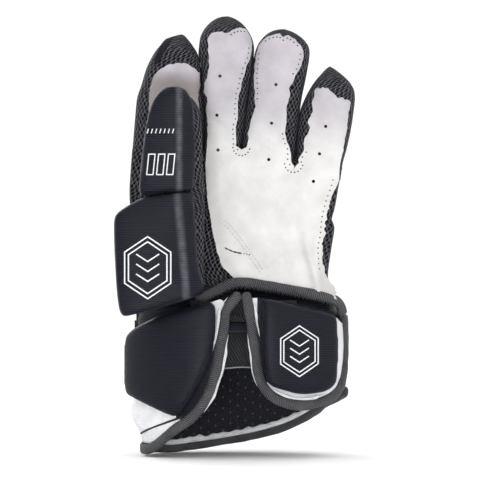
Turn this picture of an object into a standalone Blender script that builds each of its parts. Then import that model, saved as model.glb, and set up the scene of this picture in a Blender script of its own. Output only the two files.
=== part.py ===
"""Ice hockey glove for the left hand, 10 inch, as separate jointed pieces.

The glove stands fingers up with its palm towards -Y and the back of the hand towards +Y.
X points to the little finger's side. The origin is the centre of the wrist opening.
All lengths below are millimetres, and MM turns them into Blender's metres.
"""
import math

import bmesh
import bpy
from mathutils import Vector

MM = 0.001
GAP = 0.3
SEAM_GAP = 3.1
TUBE_SIDES = 2

# Layers, measured from the knuckle hinge towards the back of the hand
LEATHER = (-6.0, -4.4)
STALL = (-4.1, 16.7)
PAD_BASE = 17.0
PAD_HEIGHT = 13.0
MESH_WALL = 1.5
COVER_WALL = 1.2

# The knuckle line: it drops towards the little finger by this angle
LEAN = math.radians(5.0)
KNUCKLE = Vector((0.0, -14.0, 83.4))
ACROSS = Vector((math.cos(LEAN), 0.0, -math.sin(LEAN)))
ALONG = Vector((math.sin(LEAN), 0.0, math.cos(LEAN)))

# Cuff: half width and half depth of its oval, and the layers outside its fabric
CUFF_WIDTH = 60.0
CUFF_DEPTH = 34.0
CUFF_WALL = 1.6
CUFF_PAD_BASE = 1.9
BINDING_RADIUS = 2.7

# Joint pivots
WRIST_PIVOT = Vector((0.0, -30.0, 2.0))
THUMB_PIVOT = Vector((-50.0, -30.0, -1.0))
THUMB_TIP_PIVOT = Vector((-40.0, -27.0, 62.6))
THUMB_FLAP_PIVOT = Vector((-60.5, -6.0, -40.0))
PINKY_FLAP_PIVOT = Vector((60.5, -6.0, -30.0))

# Each finger: where its middle joint is, the (distance, left, right) outline of its mesh
# stall from knuckle to tip, and the (across, along) outlines of its two palm leathers
FINGERS = {
    "index": {
        "middle_joint": 34.0,
        "outline": [(0, -62.2, -23.9), (27, -62.2, -26.9), (37, -60.0, -28.0), (52, -56.4, -29.7),
                    (60, -52.4, -31.5), (64.5, -47.5, -34.5), (67.5, -43.0, -38.0)],
        "base_leather": [(-54.3, 3.1), (-25.6, 3.1), (-28.2, 30.9), (-54.7, 30.9)],
        "tip_leather": [(-54.6, 37.1), (-29.6, 37.1), (-30.8, 46.7), (-34.5, 50.8), (-44.7, 49.0),
                        (-52.4, 43.5)],
    },
    "middle": {
        "middle_joint": 40.0,
        "outline": [(0, -20.8, -0.2), (26, -21.4, 0.8), (42, -25.4, 1.3), (57, -28.4, 2.2),
                    (66, -28.2, 1.6), (75, -24.6, -3.4), (80.2, -18.0, -11.0)],
        "base_leather": [(-19.8, 3.1), (-0.8, 3.1), (-3.2, 10.7), (-3.2, 36.9), (-22.8, 36.9),
                         (-20.4, 26.0)],
        "tip_leather": [(-23.6, 43.1), (-2.6, 43.1), (-1.1, 52.0), (1.2, 58.7), (-1.0, 71.0),
                        (-5.9, 73.9), (-18.0, 70.9), (-24.4, 66.9), (-22.6, 50.0)],
    },
    "ring": {
        "middle_joint": 38.0,
        "outline": [(0, 0.5, 31.0), (38, 1.9, 31.4), (50, 2.6, 32.6), (62, 3.8, 34.0), (69, 7.0, 31.5),
                    (75.6, 14.0, 23.0)],
        "base_leather": [(1.2, 3.1), (29.4, 3.1), (24.6, 17.8), (24.2, 34.9), (5.8, 34.9),
                         (3.6, 18.8)],
        "tip_leather": [(4.3, 41.1), (24.6, 41.1), (29.3, 52.6), (32.0, 60.4), (29.7, 68.8),
                        (22.7, 73.1), (15.0, 74.2), (9.6, 71.9), (4.6, 61.8)],
    },
    "pinky": {
        "middle_joint": 28.0,
        "outline": [(0, 32.0, 58.8), (28, 32.2, 62.8), (40, 35.2, 62.8), (47.6, 39.2, 59.5),
                    (52, 42.8, 55.5), (56.5, 46.5, 50.5)],
        "base_leather": [(33.4, 3.1), (58.0, 3.1), (59.8, 24.9), (37.0, 24.9), (37.3, 17.0)],
        "tip_leather": [(39.0, 31.1), (60.1, 31.1), (60.9, 36.2), (53.5, 39.4), (44.5, 43.4),
                        (39.4, 41.9)],
    },
}

# (X, Z) outlines on the palm side
PALM_LEFT = [(-2.3, 14.4), (-9.9, 20.4), (-14.7, 37.3), (-17.5, 51.6), (-18.5, 64.6), (-57.5, 64.6)]
PALM_RIGHT = [(51.4, 58.1), (48.1, 38.1), (47.1, 31.0), (47.6, 21.2), (53.0, 7.4), (43.3, 8.0),
              (24.3, 11.6), (5.3, 14.4)]
WRIST_BINDING = [(-15.5, 4.6), (-2.3, 10.9), (5.3, 10.9), (24.3, 8.0), (43.3, 4.2), (57.0, 0.4)]
THUMB_FLAP_BINDING = [(-2.0, 2.6), (-8.0, -5.3), (-8.9, -13.9), (-11.6, -25.2), (-14.2, -40.5),
                      (-19.5, -54.8), (-27.0, -65.3), (-36.5, -71.9), (-50.0, -81.0),
                      (-55.0, -83.6), (-59.3, -84.4)]
PINKY_FLAP_BINDING = [(3.8, 3.2), (5.3, -5.3), (7.2, -17.7), (9.1, -29.1), (10.0, -40.5),
                      (14.8, -50.1), (22.4, -55.6), (33.8, -58.5), (46.2, -56.7), (55.0, -52.0),
                      (58.8, -42.4), (59.4, -26.3), (58.0, -9.5)]

# (X, lowest Z, highest Z) of the cuff's fabric and pads, which follow the oval
THUMB_FLAP_CLOTH = [(-59.4, -79.5, -24.0), (-54.0, -79.6, -18.0), (-42.0, -71.9, -8.0),
                    (-34.0, -66.3, -4.4), (-27.0, -61.0, -2.4), (-22.0, -53.4, -1.4),
                    (-18.0, -43.0, -0.8), (-15.6, -30.0, -0.4), (-13.4, -18.0, -0.2),
                    (-11.9, -10.0, -1.4)]
THUMB_FLAP_PAD = [(-59.3, -54.0, -24.0), (-56.0, -54.6, -18.4), (-50.0, -57.6, -12.4),
                  (-40.3, -62.4, -6.4), (-33.4, -62.2, -4.4), (-27.0, -52.4, -3.2),
                  (-20.6, -39.0, -2.6), (-17.2, -27.0, -3.2)]
PINKY_FLAP_CLOTH = [(11.8, -22.0, 0.2), (13.2, -36.0, 0.4), (15.2, -43.0, 0.2), (19.0, -48.0, -0.2),
                    (25.0, -52.0, -1.6), (33.8, -54.6, -3.6), (45.0, -52.8, -6.0),
                    (51.6, -49.0, -7.6), (54.4, -42.0, -9.0)]
PINKY_FLAP_PAD = [(13.4, -30.0, -0.6), (16.4, -44.0, 0.0), (24.0, -49.6, -1.6), (33.8, -52.0, -3.8),
                  (45.0, -50.4, -6.2), (50.6, -46.6, -8.2), (54.0, -38.0, -12.0)]

# (angle round the oval in degrees, height): the rim of the cuff's back, from the little
# finger's side to the thumb's side
CUFF_RIM = [(2, -52.0), (20, -55.5), (36, -60.0), (45, -65.4), (66, -74.5), (85, -79.7), (113, -84.3),
            (135, -86.0), (157, -85.2), (178, -84.2)]

BODIES = {}
MATERIALS = {}


def clear_scene():
    for old in list(bpy.data.objects):
        bpy.data.objects.remove(old, do_unlink=True)


def material(name, colour, roughness, metallic=0.0):
    if name not in MATERIALS:
        made = bpy.data.materials.new(name)
        made.use_nodes = True
        shader = made.node_tree.nodes["Principled BSDF"]
        shader.inputs["Base Color"].default_value = (*colour, 1.0)
        shader.inputs["Roughness"].default_value = roughness
        shader.inputs["Metallic"].default_value = metallic
        MATERIALS[name] = made
    return MATERIALS[name]


def white_leather():
    return material("white_leather", (0.78, 0.79, 0.80), 0.55)


def black_mesh():
    return material("black_mesh", (0.018, 0.018, 0.022), 0.85)


def navy_nylon():
    return material("navy_nylon", (0.012, 0.014, 0.024), 0.5)


def grey_foam():
    return material("grey_foam", (0.20, 0.20, 0.21), 0.9)


def white_knit():
    return material("white_knit", (0.70, 0.71, 0.72), 0.8)


def charcoal_tape():
    return material("charcoal_tape", (0.045, 0.047, 0.052), 0.75)


def hard_plastic():
    return material("hard_plastic", (0.10, 0.10, 0.11), 0.4)


def body(name, pivot, parent=None):
    """An empty on a moving body's joint axis, under its parent body's empty."""
    empty = bpy.data.objects.new(name, None)
    bpy.context.scene.collection.objects.link(empty)
    if parent:
        empty.parent = BODIES[parent][0]
        empty.location = (pivot - BODIES[parent][1]) * MM
    else:
        empty.location = pivot * MM
    BODIES[name] = (empty, pivot)


def place_object(name, data, owner, surface):
    made = bpy.data.objects.new(name, data)
    made.data.materials.append(surface)
    made.parent = BODIES[owner][0]
    bpy.context.scene.collection.objects.link(made)


def add_node(name, bm, owner, surface):
    """Turn a bmesh in world millimetres into a named object on its body's empty."""
    bmesh.ops.recalc_face_normals(bm, faces=bm.faces)
    for vertex in bm.verts:
        vertex.co = (vertex.co - BODIES[owner][1]) * MM
    mesh = bpy.data.meshes.new(name)
    bm.to_mesh(mesh)
    bm.free()
    mesh.shade_smooth()
    mesh.set_sharp_from_angle(angle=math.radians(40))
    place_object(name, mesh, owner, surface)


def on_hand(across, along, out):
    """A point in the fingers' frame, whose origin is the knuckle hinge."""
    return KNUCKLE + ACROSS * across + ALONG * along + Vector((0.0, out, 0.0))


def between(table, position):
    """Linear interpolation in a table of (position, value, value, ...) rows."""
    for low, high in zip(table, table[1:]):
        if position <= high[0]:
            break
    share = min(max((position - low[0]) / (high[0] - low[0]), 0.0), 1.0)
    return [a + (b - a) * share for a, b in zip(low[1:], high[1:])]


def skin(bm, rings, closed):
    """Quads between neighbouring rings of vertices."""
    for low, high in zip(rings, rings[1:]):
        count = len(low) if closed else len(low) - 1
        for i in range(count):
            j = (i + 1) % len(low)
            bm.faces.new((low[i], low[j], high[j], high[i]))


def loft(name, owner, surface, rings):
    """A solid through closed rings of points, with a flat cap on each end."""
    bm = bmesh.new()
    made = [[bm.verts.new(p) for p in ring] for ring in rings]
    skin(bm, made, True)
    bm.faces.new(made[0])
    bm.faces.new(made[-1])
    add_node(name, bm, owner, surface)


def plate(name, owner, surface, place, outline, layer):
    """A flat sheet of the outline's shape between two depths."""
    loft(name, owner, surface, [[place(a, b, depth) for a, b in outline] for depth in layer])


def channel(name, owner, surface, outer, inner, closed_end):
    """A U-shaped wall between two lofts of open sections, with one end closed if asked."""
    bm = bmesh.new()
    outside = [[bm.verts.new(p) for p in section] for section in outer]
    inside = [[bm.verts.new(p) for p in section] for section in inner]
    skin(bm, outside, False)
    skin(bm, inside, False)
    for side in (0, -1):
        edges = [[a[side], b[side]] for a, b in zip(outside, inside)]
        skin(bm, edges, False)
    skin(bm, [outside[0], inside[0]], False)
    if closed_end:
        bm.faces.new(outside[-1])
        bm.faces.new(inside[-1])
        bm.faces.new((outside[-1][0], outside[-1][-1], inside[-1][-1], inside[-1][0]))
    else:
        skin(bm, [outside[-1], inside[-1]], False)
    add_node(name, bm, owner, surface)


def u_section(left, right, base, top, inset=0.0):
    """Half round section of a mesh wall: (across, out) from its left lip to its right lip."""
    shape = [(0.10, 0.0), (0.02, 0.22), (0.0, 0.45), (0.03, 0.75), (0.13, 0.94), (0.30, 1.0)]
    half = [(share, rise) for share, rise in shape]
    both = half + [(1.0 - share, rise) for share, rise in reversed(half)]
    left, right, top = left + inset, right - inset, top - inset
    return [(left + (right - left) * share, base + (top - base) * rise) for share, rise in both]


def arch(low, high, height):
    """Section of a padded roll, (across, out), from its low edge over the top to its high edge."""
    shape = [(0.0, 0.0), (0.03, 0.52), (0.17, 0.88), (0.5, 1.0), (0.83, 0.88), (0.97, 0.52), (1.0, 0.0)]
    return [(low + (high - low) * share, height * rise) for share, rise in shape]


def pad_sections(place, stations, base, height, inset, end_inset):
    """Arches along a pad. A station is (position, low edge, high edge, share of the height)."""
    first, last = stations[0][0], stations[-1][0]
    step = math.copysign(end_inset, last - first)
    sections = []
    for position, low, high, rise in stations:
        if position == first:
            position += step
        if position == last:
            position -= step
        section = arch(low + inset, high - inset, height * rise - inset)
        sections.append([place(across, position, base + out) for across, out in section])
    return sections


def padded(name, owner, place, stations, base, height, end_scale=1.0):
    """A sewn cover, open underneath, and the foam block inside it."""
    outer = pad_sections(place, stations, base, height, 0.0, 0.0)
    inner = pad_sections(place, stations, base, height, COVER_WALL, COVER_WALL * end_scale)
    bm = bmesh.new()
    outside = [[bm.verts.new(p) for p in section] for section in outer]
    inside = [[bm.verts.new(p) for p in section] for section in inner]
    for surface in (outside, inside):
        skin(bm, surface, False)
        bm.faces.new(surface[0])
        bm.faces.new(surface[-1])
    for side in (0, -1):
        edges = [[a[side], b[side]] for a, b in zip(outside, inside)]
        skin(bm, edges, False)
    for end in (0, -1):
        a, b = outside[end], inside[end]
        bm.faces.new((a[0], a[-1], b[-1], b[0]))
    add_node(name + "_cover", bm, owner, navy_nylon())
    inset = COVER_WALL + GAP
    foam = pad_sections(place, stations, base, height, inset, inset * end_scale)
    loft(name + "_foam", owner, grey_foam(), foam)


def tube(name, owner, surface, points, radius):
    """A round binding along a smooth curve through the points."""
    smooth = []
    ends = [points[0], *points, points[-1]]
    for a, b, c, d in zip(ends, ends[1:], ends[2:], ends[3:]):
        steps = max(2, round((c - b).length / 5.0))
        for i in range(steps):
            t = i / steps
            smooth.append(0.5 * (2 * b + (c - a) * t + (2 * a - 5 * b + 4 * c - d) * t * t
                                 + (3 * b - a - 3 * c + d) * t ** 3))
    smooth.append(points[-1])
    curve = bpy.data.curves.new(name, "CURVE")
    curve.dimensions = "3D"
    curve.bevel_depth = radius * MM
    curve.bevel_resolution = TUBE_SIDES
    curve.use_fill_caps = True
    curve.render_resolution_u = 0
    spline = curve.splines.new("POLY")
    spline.points.add(len(smooth) - 1)
    for point, position in zip(spline.points, smooth):
        point.co = (*((position - BODIES[owner][1]) * MM), 1.0)
    place_object(name, curve, owner, surface)


def finger_stall(name, owner, outline, rows, closed_end):
    """A stretch of a finger's mesh stall. A row is (distance, lift of the lips, drop of the top)."""
    outer, inner = [], []
    for along, lift, drop in rows:
        left, right = between(outline, along)
        base, top = STALL[0] + lift, STALL[1] - drop
        section = u_section(left, right, base, top)
        outer.append([on_hand(a, along, out) for a, out in section])
        if closed_end and along == rows[-1][0]:
            along -= MESH_WALL
        section = u_section(left, right, base, top, MESH_WALL)
        inner.append([on_hand(a, along, out) for a, out in section])
    channel(name, owner, black_mesh(), outer, inner, closed_end)


def finger_pad(name, owner, outline, start, end, rounded_tip):
    """A foam block on the back of a finger, between two distances from the knuckle."""
    tip_rise = 0.45 if rounded_tip else 0.75
    rows = [(start, 0.75), (start + 3.0, 1.0), (end - (7.0 if rounded_tip else 3.0), 1.0), (end, tip_rise)]
    stations = []
    for along, rise in rows:
        left, right = between(outline, along)
        side = 1.6 if rise == 1.0 else 2.4
        stations.append((along, left + side, right - side, rise))
    padded(name, owner, on_hand, stations, PAD_BASE, PAD_HEIGHT)


def build_fingers():
    for finger, shape in FINGERS.items():
        middle = shape["middle_joint"]
        outline = shape["outline"]
        tip = outline[-1][0]
        centre = sum(outline[0][1:]) / 2
        base, end = finger + "_base", finger + "_tip"
        body(base, on_hand(centre, 0.0, 0.0), "hand")
        body(end, on_hand(centre, middle, 0.0), base)
        cut = SEAM_GAP - 0.5
        base_rows = [(cut, 0, 0), (middle / 2, 0, 0), (middle - cut, 0, 0)]
        tip_rows = [(middle + cut, 0, 0), (tip - 16, 0, 0), (tip - 6, 1.0, 2.0), (tip, 5.0, 8.0)]
        finger_stall(base + "_stall", base, outline, base_rows, False)
        finger_stall(end + "_stall", end, outline, tip_rows, True)
        plate(base + "_leather", base, white_leather(), on_hand, shape["base_leather"], LEATHER)
        plate(end + "_leather", end, white_leather(), on_hand, shape["tip_leather"], LEATHER)
        finger_pad(base + "_pad", base, outline, 0.5, middle - 0.5, False)
        finger_pad(end + "_pad", end, outline, middle + 0.5, tip - 3.0, True)


def back_of_hand(across):
    """Depth of the hand shell's outer face at a distance across the hand."""
    return 27.5 - 5.0 * abs((across + 2.0) / 56.0) ** 3


def hand_section(left, right, inset):
    """(across, out) round the hand from the thumb's side over the back to the little finger's."""
    lip = STALL[0]
    points = [(left + 2.5, lip), (left + inset, lip + 5.0), (left + inset, 14.0)]
    for share in (0.07, 0.2, 0.35, 0.5, 0.65, 0.8, 0.93):
        across = left + (right - left) * share
        points.append((across, back_of_hand(across) - inset))
    points += [(right - inset, 14.0), (right - inset, lip + 5.0), (right - 2.5, lip)]
    if inset:
        points[0] = (left + 2.5 + inset, lip)
        points[-1] = (right - 2.5 - inset, lip)
    return points


def build_hand():
    body("hand", Vector((0.0, 0.0, 0.0)))
    top = [(x, -SEAM_GAP) for x in (-57.0, 57.4)]
    corners = [(p.x, p.z) for p in (on_hand(a, s, 0.0) for a, s in top)]
    palm = [corners[0], corners[1], *PALM_RIGHT, *PALM_LEFT]
    plate("palm_leather", "hand", white_leather(), lambda x, z, out: Vector((x, KNUCKLE.y + out, z)),
          palm, LEATHER)

    rows = [(-76.5, -53.0, 55.0), (-58.0, -56.0, 56.4), (-36.0, -60.0, 55.0), (-22.0, -61.6, 57.0),
            (0.5 - SEAM_GAP, -62.0, 58.4)]
    outer = [[on_hand(a, s, out) for a, out in hand_section(left, right, 0.0)] for s, left, right in rows]
    inner = [[on_hand(a, s, out) for a, out in hand_section(left, right, MESH_WALL)]
             for s, left, right in rows]
    channel("hand_mesh", "hand", black_mesh(), outer, inner, False)

    for number, (low, high) in enumerate([(-24.6, -3.2), (-47.4, -25.6), (-71.6, -48.4)], 1):
        ends = [(-56.0, 0.4, 4.0), (-50.0, 0.86, 1.0), (-40.0, 1.0, 0.0), (-20.0, 1.0, 0.0),
                (0.0, 1.0, 0.0), (20.0, 1.0, 0.0), (38.0, 1.0, 0.0), (47.0, 0.86, 1.0), (52.0, 0.4, 4.0)]
        stations = [(a, low + side, high - side, rise) for a, rise, side in ends]
        padded(f"back_roll_{number}", "hand", lambda along, a, out: on_hand(a, along, back_of_hand(a) + out),
               stations, 0.9, 15.5)

    path = [Vector((x, KNUCKLE.y - 8.0, z)) for x, z in WRIST_BINDING]
    tube("wrist_binding", "hand", charcoal_tape(), path, BINDING_RADIUS)


def thumb_base_point(across, along, out):
    """The thumb's lower part: its ends slope down towards the outside of the hand."""
    slope = 0.28 - 0.0027 * along
    return Vector((across, -out, along + slope * (across + 44.0)))


def thumb_tip_point(across, along, out):
    """The thumb's upper part, which leans forward off the index finger."""
    return Vector((across, -out - 0.12 * (along - 62.0), along + 0.1 * (across + 40.0)))


def thumb_wall(name, owner, place, rows, base, top, closed_end):
    outer, inner = [], []
    for along, left, right, drop in rows:
        section = u_section(left, right, base + drop / 2, top - drop)
        outer.append([place(a, along, out) for a, out in section])
        if closed_end and along == rows[-1][0]:
            along -= MESH_WALL
        section = u_section(left, right, base + drop / 2, top - drop, MESH_WALL)
        inner.append([place(a, along, out) for a, out in section])
    channel(name, owner, black_mesh(), outer, inner, closed_end)


def build_thumb():
    body("thumb_base", THUMB_PIVOT, "hand")
    body("thumb_tip", THUMB_TIP_PIVOT, "thumb_base")
    rows = [(-1.0, -66.0, -21.0, 0), (24.0, -68.6, -22.5, 0), (46.0, -68.0, -21.5, 0),
            (58.5, -60.0, -21.5, 0)]
    thumb_wall("thumb_base_mesh", "thumb_base", thumb_base_point, rows, 22.0, 37.5, False)
    stations = [(-2.2, -66.4, -20.6, 0.62), (2.5, -68.4, -20.2, 0.95), (26.0, -70.4, -24.6, 1.0),
                (46.0, -70.6, -25.6, 1.0), (54.0, -67.0, -26.2, 0.95), (59.0, -61.0, -27.0, 0.62)]
    padded("thumb_base_pad", "thumb_base", thumb_base_point, stations, 37.9, 17.5)

    rows = [(65.4, -56.6, -21.8, 0), (97.0, -53.6, -21.8, 0), (108.0, -50.6, -24.0, 0),
            (116.5, -46.6, -28.6, 2), (121.2, -42.0, -34.0, 5)]
    thumb_wall("thumb_tip_mesh", "thumb_tip", thumb_tip_point, rows, 25.4, 38.6, True)
    outline = [(-54.0, 65.8), (-23.0, 65.8), (-23.4, 97.0), (-26.0, 109.0), (-33.0, 117.0), (-44.0, 117.0),
               (-49.0, 108.0), (-52.0, 97.0)]
    plate("thumb_tip_leather", "thumb_tip", white_leather(), thumb_tip_point, outline, (23.4, 25.0))
    shield = [(-49.0, 68.5), (-29.5, 68.5), (-29.5, 104.0), (-34.0, 112.0), (-42.0, 112.0), (-46.5, 104.0)]
    plate("thumb_shield", "thumb_tip", hard_plastic(), thumb_tip_point, shield, (38.9, 40.4))
    stations = [(64.8, -57.0, -26.8, 0.62), (68.5, -57.2, -26.3, 0.97), (83.0, -55.2, -26.0, 1.0),
                (98.0, -53.6, -26.0, 1.0), (110.0, -50.6, -27.6, 0.97), (116.5, -48.4, -30.6, 0.9),
                (121.6, -45.0, -35.0, 0.5)]
    padded("thumb_tip_pad", "thumb_tip", thumb_tip_point, stations, 40.7, 14.5)


def round_cuff(height, angle, out):
    """A point on the cuff's oval: out is measured along its outward normal."""
    turn = math.radians(angle)
    normal = Vector((math.cos(turn) / CUFF_WIDTH, math.sin(turn) / CUFF_DEPTH, 0.0)).normalized()
    return Vector((CUFF_WIDTH * math.cos(turn), CUFF_DEPTH * math.sin(turn), height)) + normal * out


def front_angle(x):
    """Angle of the point on the oval's front that lies at X."""
    return 360.0 - math.degrees(math.acos(x / CUFF_WIDTH))


def cuff_cloth(name, owner, surface, stations, layer):
    """A fabric wall round part of the oval. A station is (angle, lowest, highest)."""
    rings = []
    for angle, low, high in stations:
        corners = [(low, layer[0]), (high, layer[0]), (high, layer[1]), (low, layer[1])]
        rings.append([round_cuff(z, angle, out) for z, out in corners])
    loft(name, owner, surface, rings)


def cuff_binding(name, owner, points):
    tube(name, owner, charcoal_tape(), [round_cuff(z, angle, CUFF_WALL / 2) for angle, z in points],
         BINDING_RADIUS)


def flap(name, cloth, pad, binding, height):
    """One side of the slit: cloth, a padded block on it and the tape round its edge."""
    cuff_cloth(name + "_cloth", name, white_knit(), [(front_angle(x), low, high) for x, low, high in cloth],
               (0.0, CUFF_WALL))
    rises = [0.5, 0.92, *[1.0] * (len(pad) - 4), 0.92, 0.5]
    stations = [(front_angle(x), low, high, rise) for (x, low, high), rise in zip(pad, rises)]
    loft(name + "_pad", name, navy_nylon(),
         pad_sections(round_cuff, stations, CUFF_PAD_BASE, height, 0.0, 0.0))
    cuff_binding(name + "_binding", name, [(front_angle(x), z) for x, z in binding])


def build_cuff():
    body("cuff", WRIST_PIVOT, "hand")
    body("thumb_flap", THUMB_FLAP_PIVOT, "cuff")
    body("pinky_flap", PINKY_FLAP_PIVOT, "cuff")
    angles = [5, 25, 45, 65, 90, 115, 135, 155, 174]
    rim = [between(CUFF_RIM, angle)[0] for angle in angles]
    cuff_cloth("cuff_back_cloth", "cuff", white_knit(),
               [(angle, low + 4.4, -11.0) for angle, low in zip(angles, rim)], (0.0, CUFF_WALL))
    cuff_binding("cuff_back_binding", "cuff", [(angle, z) for angle, z in CUFF_RIM])
    pad_angles = [12, 18, 30, 45, 65, 90, 115, 135, 150, 162, 168]
    rises = [0.45, 0.85, *[1.0] * 7, 0.85, 0.45]
    stations = [(angle, between(CUFF_RIM, angle)[0] + 4.6, -12.0, rise)
                for angle, rise in zip(pad_angles, rises)]
    padded("cuff_back_pad", "cuff", round_cuff, stations, CUFF_PAD_BASE, 12.0, 1.2)
    tongue = [(front_angle(x), -38.0, 0.0) for x in (-30, -15, 0, 17, 34)]
    cuff_cloth("slit_elastic", "cuff", black_mesh(), tongue, (-4.4, -3.0))
    flap("thumb_flap", THUMB_FLAP_CLOTH, THUMB_FLAP_PAD, THUMB_FLAP_BINDING, 8.5)
    flap("pinky_flap", PINKY_FLAP_CLOTH, PINKY_FLAP_PAD, PINKY_FLAP_BINDING, 9.0)


clear_scene()
build_hand()
build_fingers()
build_thumb()
build_cuff()
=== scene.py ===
"""Looks of the ice hockey glove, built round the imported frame.

Lengths are millimetres in the glove's own frame, and MM turns them into metres.
The fingers' frame has "across" (to the little finger), "along" (from the knuckle to the
tips) and "out" (from the knuckle hinge to the back of the hand).
"""
import math

import bmesh
import bpy
import numpy as np
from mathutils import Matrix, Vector, noise
from mathutils.bvhtree import BVHTree


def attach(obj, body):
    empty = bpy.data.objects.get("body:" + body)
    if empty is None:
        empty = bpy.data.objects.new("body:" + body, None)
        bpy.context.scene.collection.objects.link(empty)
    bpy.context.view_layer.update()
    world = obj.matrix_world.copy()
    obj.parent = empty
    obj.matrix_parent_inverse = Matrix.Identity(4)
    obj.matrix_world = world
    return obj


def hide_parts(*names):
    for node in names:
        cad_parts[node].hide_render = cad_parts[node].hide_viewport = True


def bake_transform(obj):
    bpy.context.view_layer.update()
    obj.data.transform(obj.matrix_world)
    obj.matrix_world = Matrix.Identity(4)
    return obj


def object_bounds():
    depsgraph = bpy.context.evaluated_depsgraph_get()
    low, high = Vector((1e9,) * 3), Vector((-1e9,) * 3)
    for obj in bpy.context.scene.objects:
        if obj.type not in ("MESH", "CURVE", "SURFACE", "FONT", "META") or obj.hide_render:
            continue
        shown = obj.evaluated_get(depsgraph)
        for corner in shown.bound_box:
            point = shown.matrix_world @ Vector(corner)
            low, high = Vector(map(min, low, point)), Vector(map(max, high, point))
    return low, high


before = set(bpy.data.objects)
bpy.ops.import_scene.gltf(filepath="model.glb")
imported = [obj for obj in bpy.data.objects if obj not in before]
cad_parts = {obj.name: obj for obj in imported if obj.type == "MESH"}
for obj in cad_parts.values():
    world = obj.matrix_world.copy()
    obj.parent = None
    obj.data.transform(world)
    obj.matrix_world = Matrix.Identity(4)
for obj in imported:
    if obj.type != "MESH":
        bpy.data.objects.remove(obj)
cad_low, cad_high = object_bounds()

MM = 0.001

# The same places as in the CAD source
LEAN = math.radians(5.0)
KNUCKLE = np.array((0.0, -14.0, 83.4))
ACROSS = np.array((math.cos(LEAN), 0.0, -math.sin(LEAN)))
ALONG = np.array((math.sin(LEAN), 0.0, math.cos(LEAN)))
OUT = np.array((0.0, 1.0, 0.0))
CUFF_WIDTH, CUFF_DEPTH = 60.0, 34.0

# Depths in the fingers' frame
FRONT = -5.4
SLEEVE_BACK = 16.8
LEATHER_LIFT = 0.7
LEATHER_THICKNESS = 0.8

# Exponent that squares off the sleeves' round sections
SQUARENESS = 2.8
# The stretch on each side of a joint, which split_bend works out but does not use
BEND_REACH = 6.0
# Where the palm leather ends and the finger leathers start; the index leather starts higher
PALM_TOP = -6.0
INDEX_START = -4.0
HOLE_RADIUS = 0.95
STITCH_SIZE = 0.5


# ---------------------------------------------------------------- helpers

def smooth(table, x):
    """Value of a smooth curve through (x, value) rows."""
    xs = [row[0] for row in table]
    ys = [row[1] for row in table]
    if not xs[0] < x < xs[-1]:
        return ys[0] if x <= xs[0] else ys[-1]
    i = max(k for k in range(len(xs) - 1) if xs[k] <= x)

    def rise(k):
        return (ys[k + 1] - ys[k]) / (xs[k + 1] - xs[k])

    def slope(k):
        if k in (0, len(xs) - 1):
            return rise(min(k, len(xs) - 2))
        left, right = rise(k - 1), rise(k)
        return 0.0 if left * right <= 0 else 2 * left * right / (left + right)

    h = xs[i + 1] - xs[i]
    t = (x - xs[i]) / h
    return ((2 * t ** 3 - 3 * t ** 2 + 1) * ys[i] + (t ** 3 - 2 * t ** 2 + t) * h * slope(i)
            + (-2 * t ** 3 + 3 * t ** 2) * ys[i + 1] + (t ** 3 - t ** 2) * h * slope(i + 1))


def step(low, high, x):
    """0 below low, 1 above high, and a smooth rise between them."""
    t = min(max((x - low) / (high - low), 0.0), 1.0)
    return t * t * (3 - 2 * t)


def bump(x, centre, width):
    return math.exp(-((x - centre) / width) ** 2)


def unit(vector):
    return vector / np.linalg.norm(vector)


def power(value, exponent):
    """A power that keeps the value's sign."""
    return math.copysign(abs(value) ** exponent, value)


def circle(count, exponent=1.0, start=0.0):
    """(cosine, sine) pairs round a circle. An exponent below 1 squares it off."""
    turns = [2 * math.pi * k / count + start for k in range(count)]
    return [(power(math.cos(turn), exponent), power(math.sin(turn), exponent)) for turn in turns]


def on_hand(across, along, out):
    return KNUCKLE + ACROSS * across + ALONG * along + OUT * out


def hand_coordinates(x, z):
    """(across, along) of a point given by X and Z."""
    offset = np.array((x, 0.0, z)) - KNUCKLE
    return float(offset @ ACROSS), float(offset @ ALONG)


def round_cuff(height, angle, out):
    """A point on the cuff's oval, moved out along its normal. It narrows low on the thumb's side."""
    turn = math.radians(angle)
    normal = unit(np.array((math.cos(turn) / CUFF_WIDTH, math.sin(turn) / CUFF_DEPTH, 0.0)))
    base = np.array((CUFF_WIDTH * math.cos(turn), CUFF_DEPTH * math.sin(turn), height))
    base[0] += 5.0 * (1.0 - step(-84.0, -66.0, height)) * step(0.45, 1.0, -math.cos(turn))
    return base + normal * out


def front_angle(x):
    """The angle at which the front of the cuff's oval has this X."""
    return 360.0 - math.degrees(math.acos(max(-1.0, min(1.0, x / CUFF_WIDTH))))


def curve_through(points, spacing):
    """Evenly spaced points on a smooth curve through the given ones."""
    points = [np.array(p, float) for p in points]
    ends = [2 * points[0] - points[1], *points, 2 * points[-1] - points[-2]]
    fine = []
    for a, b, c, d in zip(ends, ends[1:], ends[2:], ends[3:]):
        for k in range(16):
            t = k / 16
            fine.append(0.5 * (2 * b + (c - a) * t + (2 * a - 5 * b + 4 * c - d) * t * t
                               + (3 * b - a - 3 * c + d) * t ** 3))
    fine = np.array([*fine, points[-1]])
    run = np.concatenate(([0.0], np.cumsum(np.linalg.norm(np.diff(fine, axis=0), axis=1))))
    marks = np.linspace(0, run[-1], max(2, round(run[-1] / spacing)) + 1)
    return np.stack([np.interp(marks, run, fine[:, k]) for k in range(fine.shape[1])], axis=1)


def edit(piece, *actions):
    """Change a piece's mesh with bmesh actions, then turn its faces outwards."""
    bm = bmesh.new()
    bm.from_mesh(piece.data)
    for action in actions:
        action(bm)
    bmesh.ops.recalc_face_normals(bm, faces=bm.faces)
    bm.to_mesh(piece.data)
    bm.free()


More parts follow.
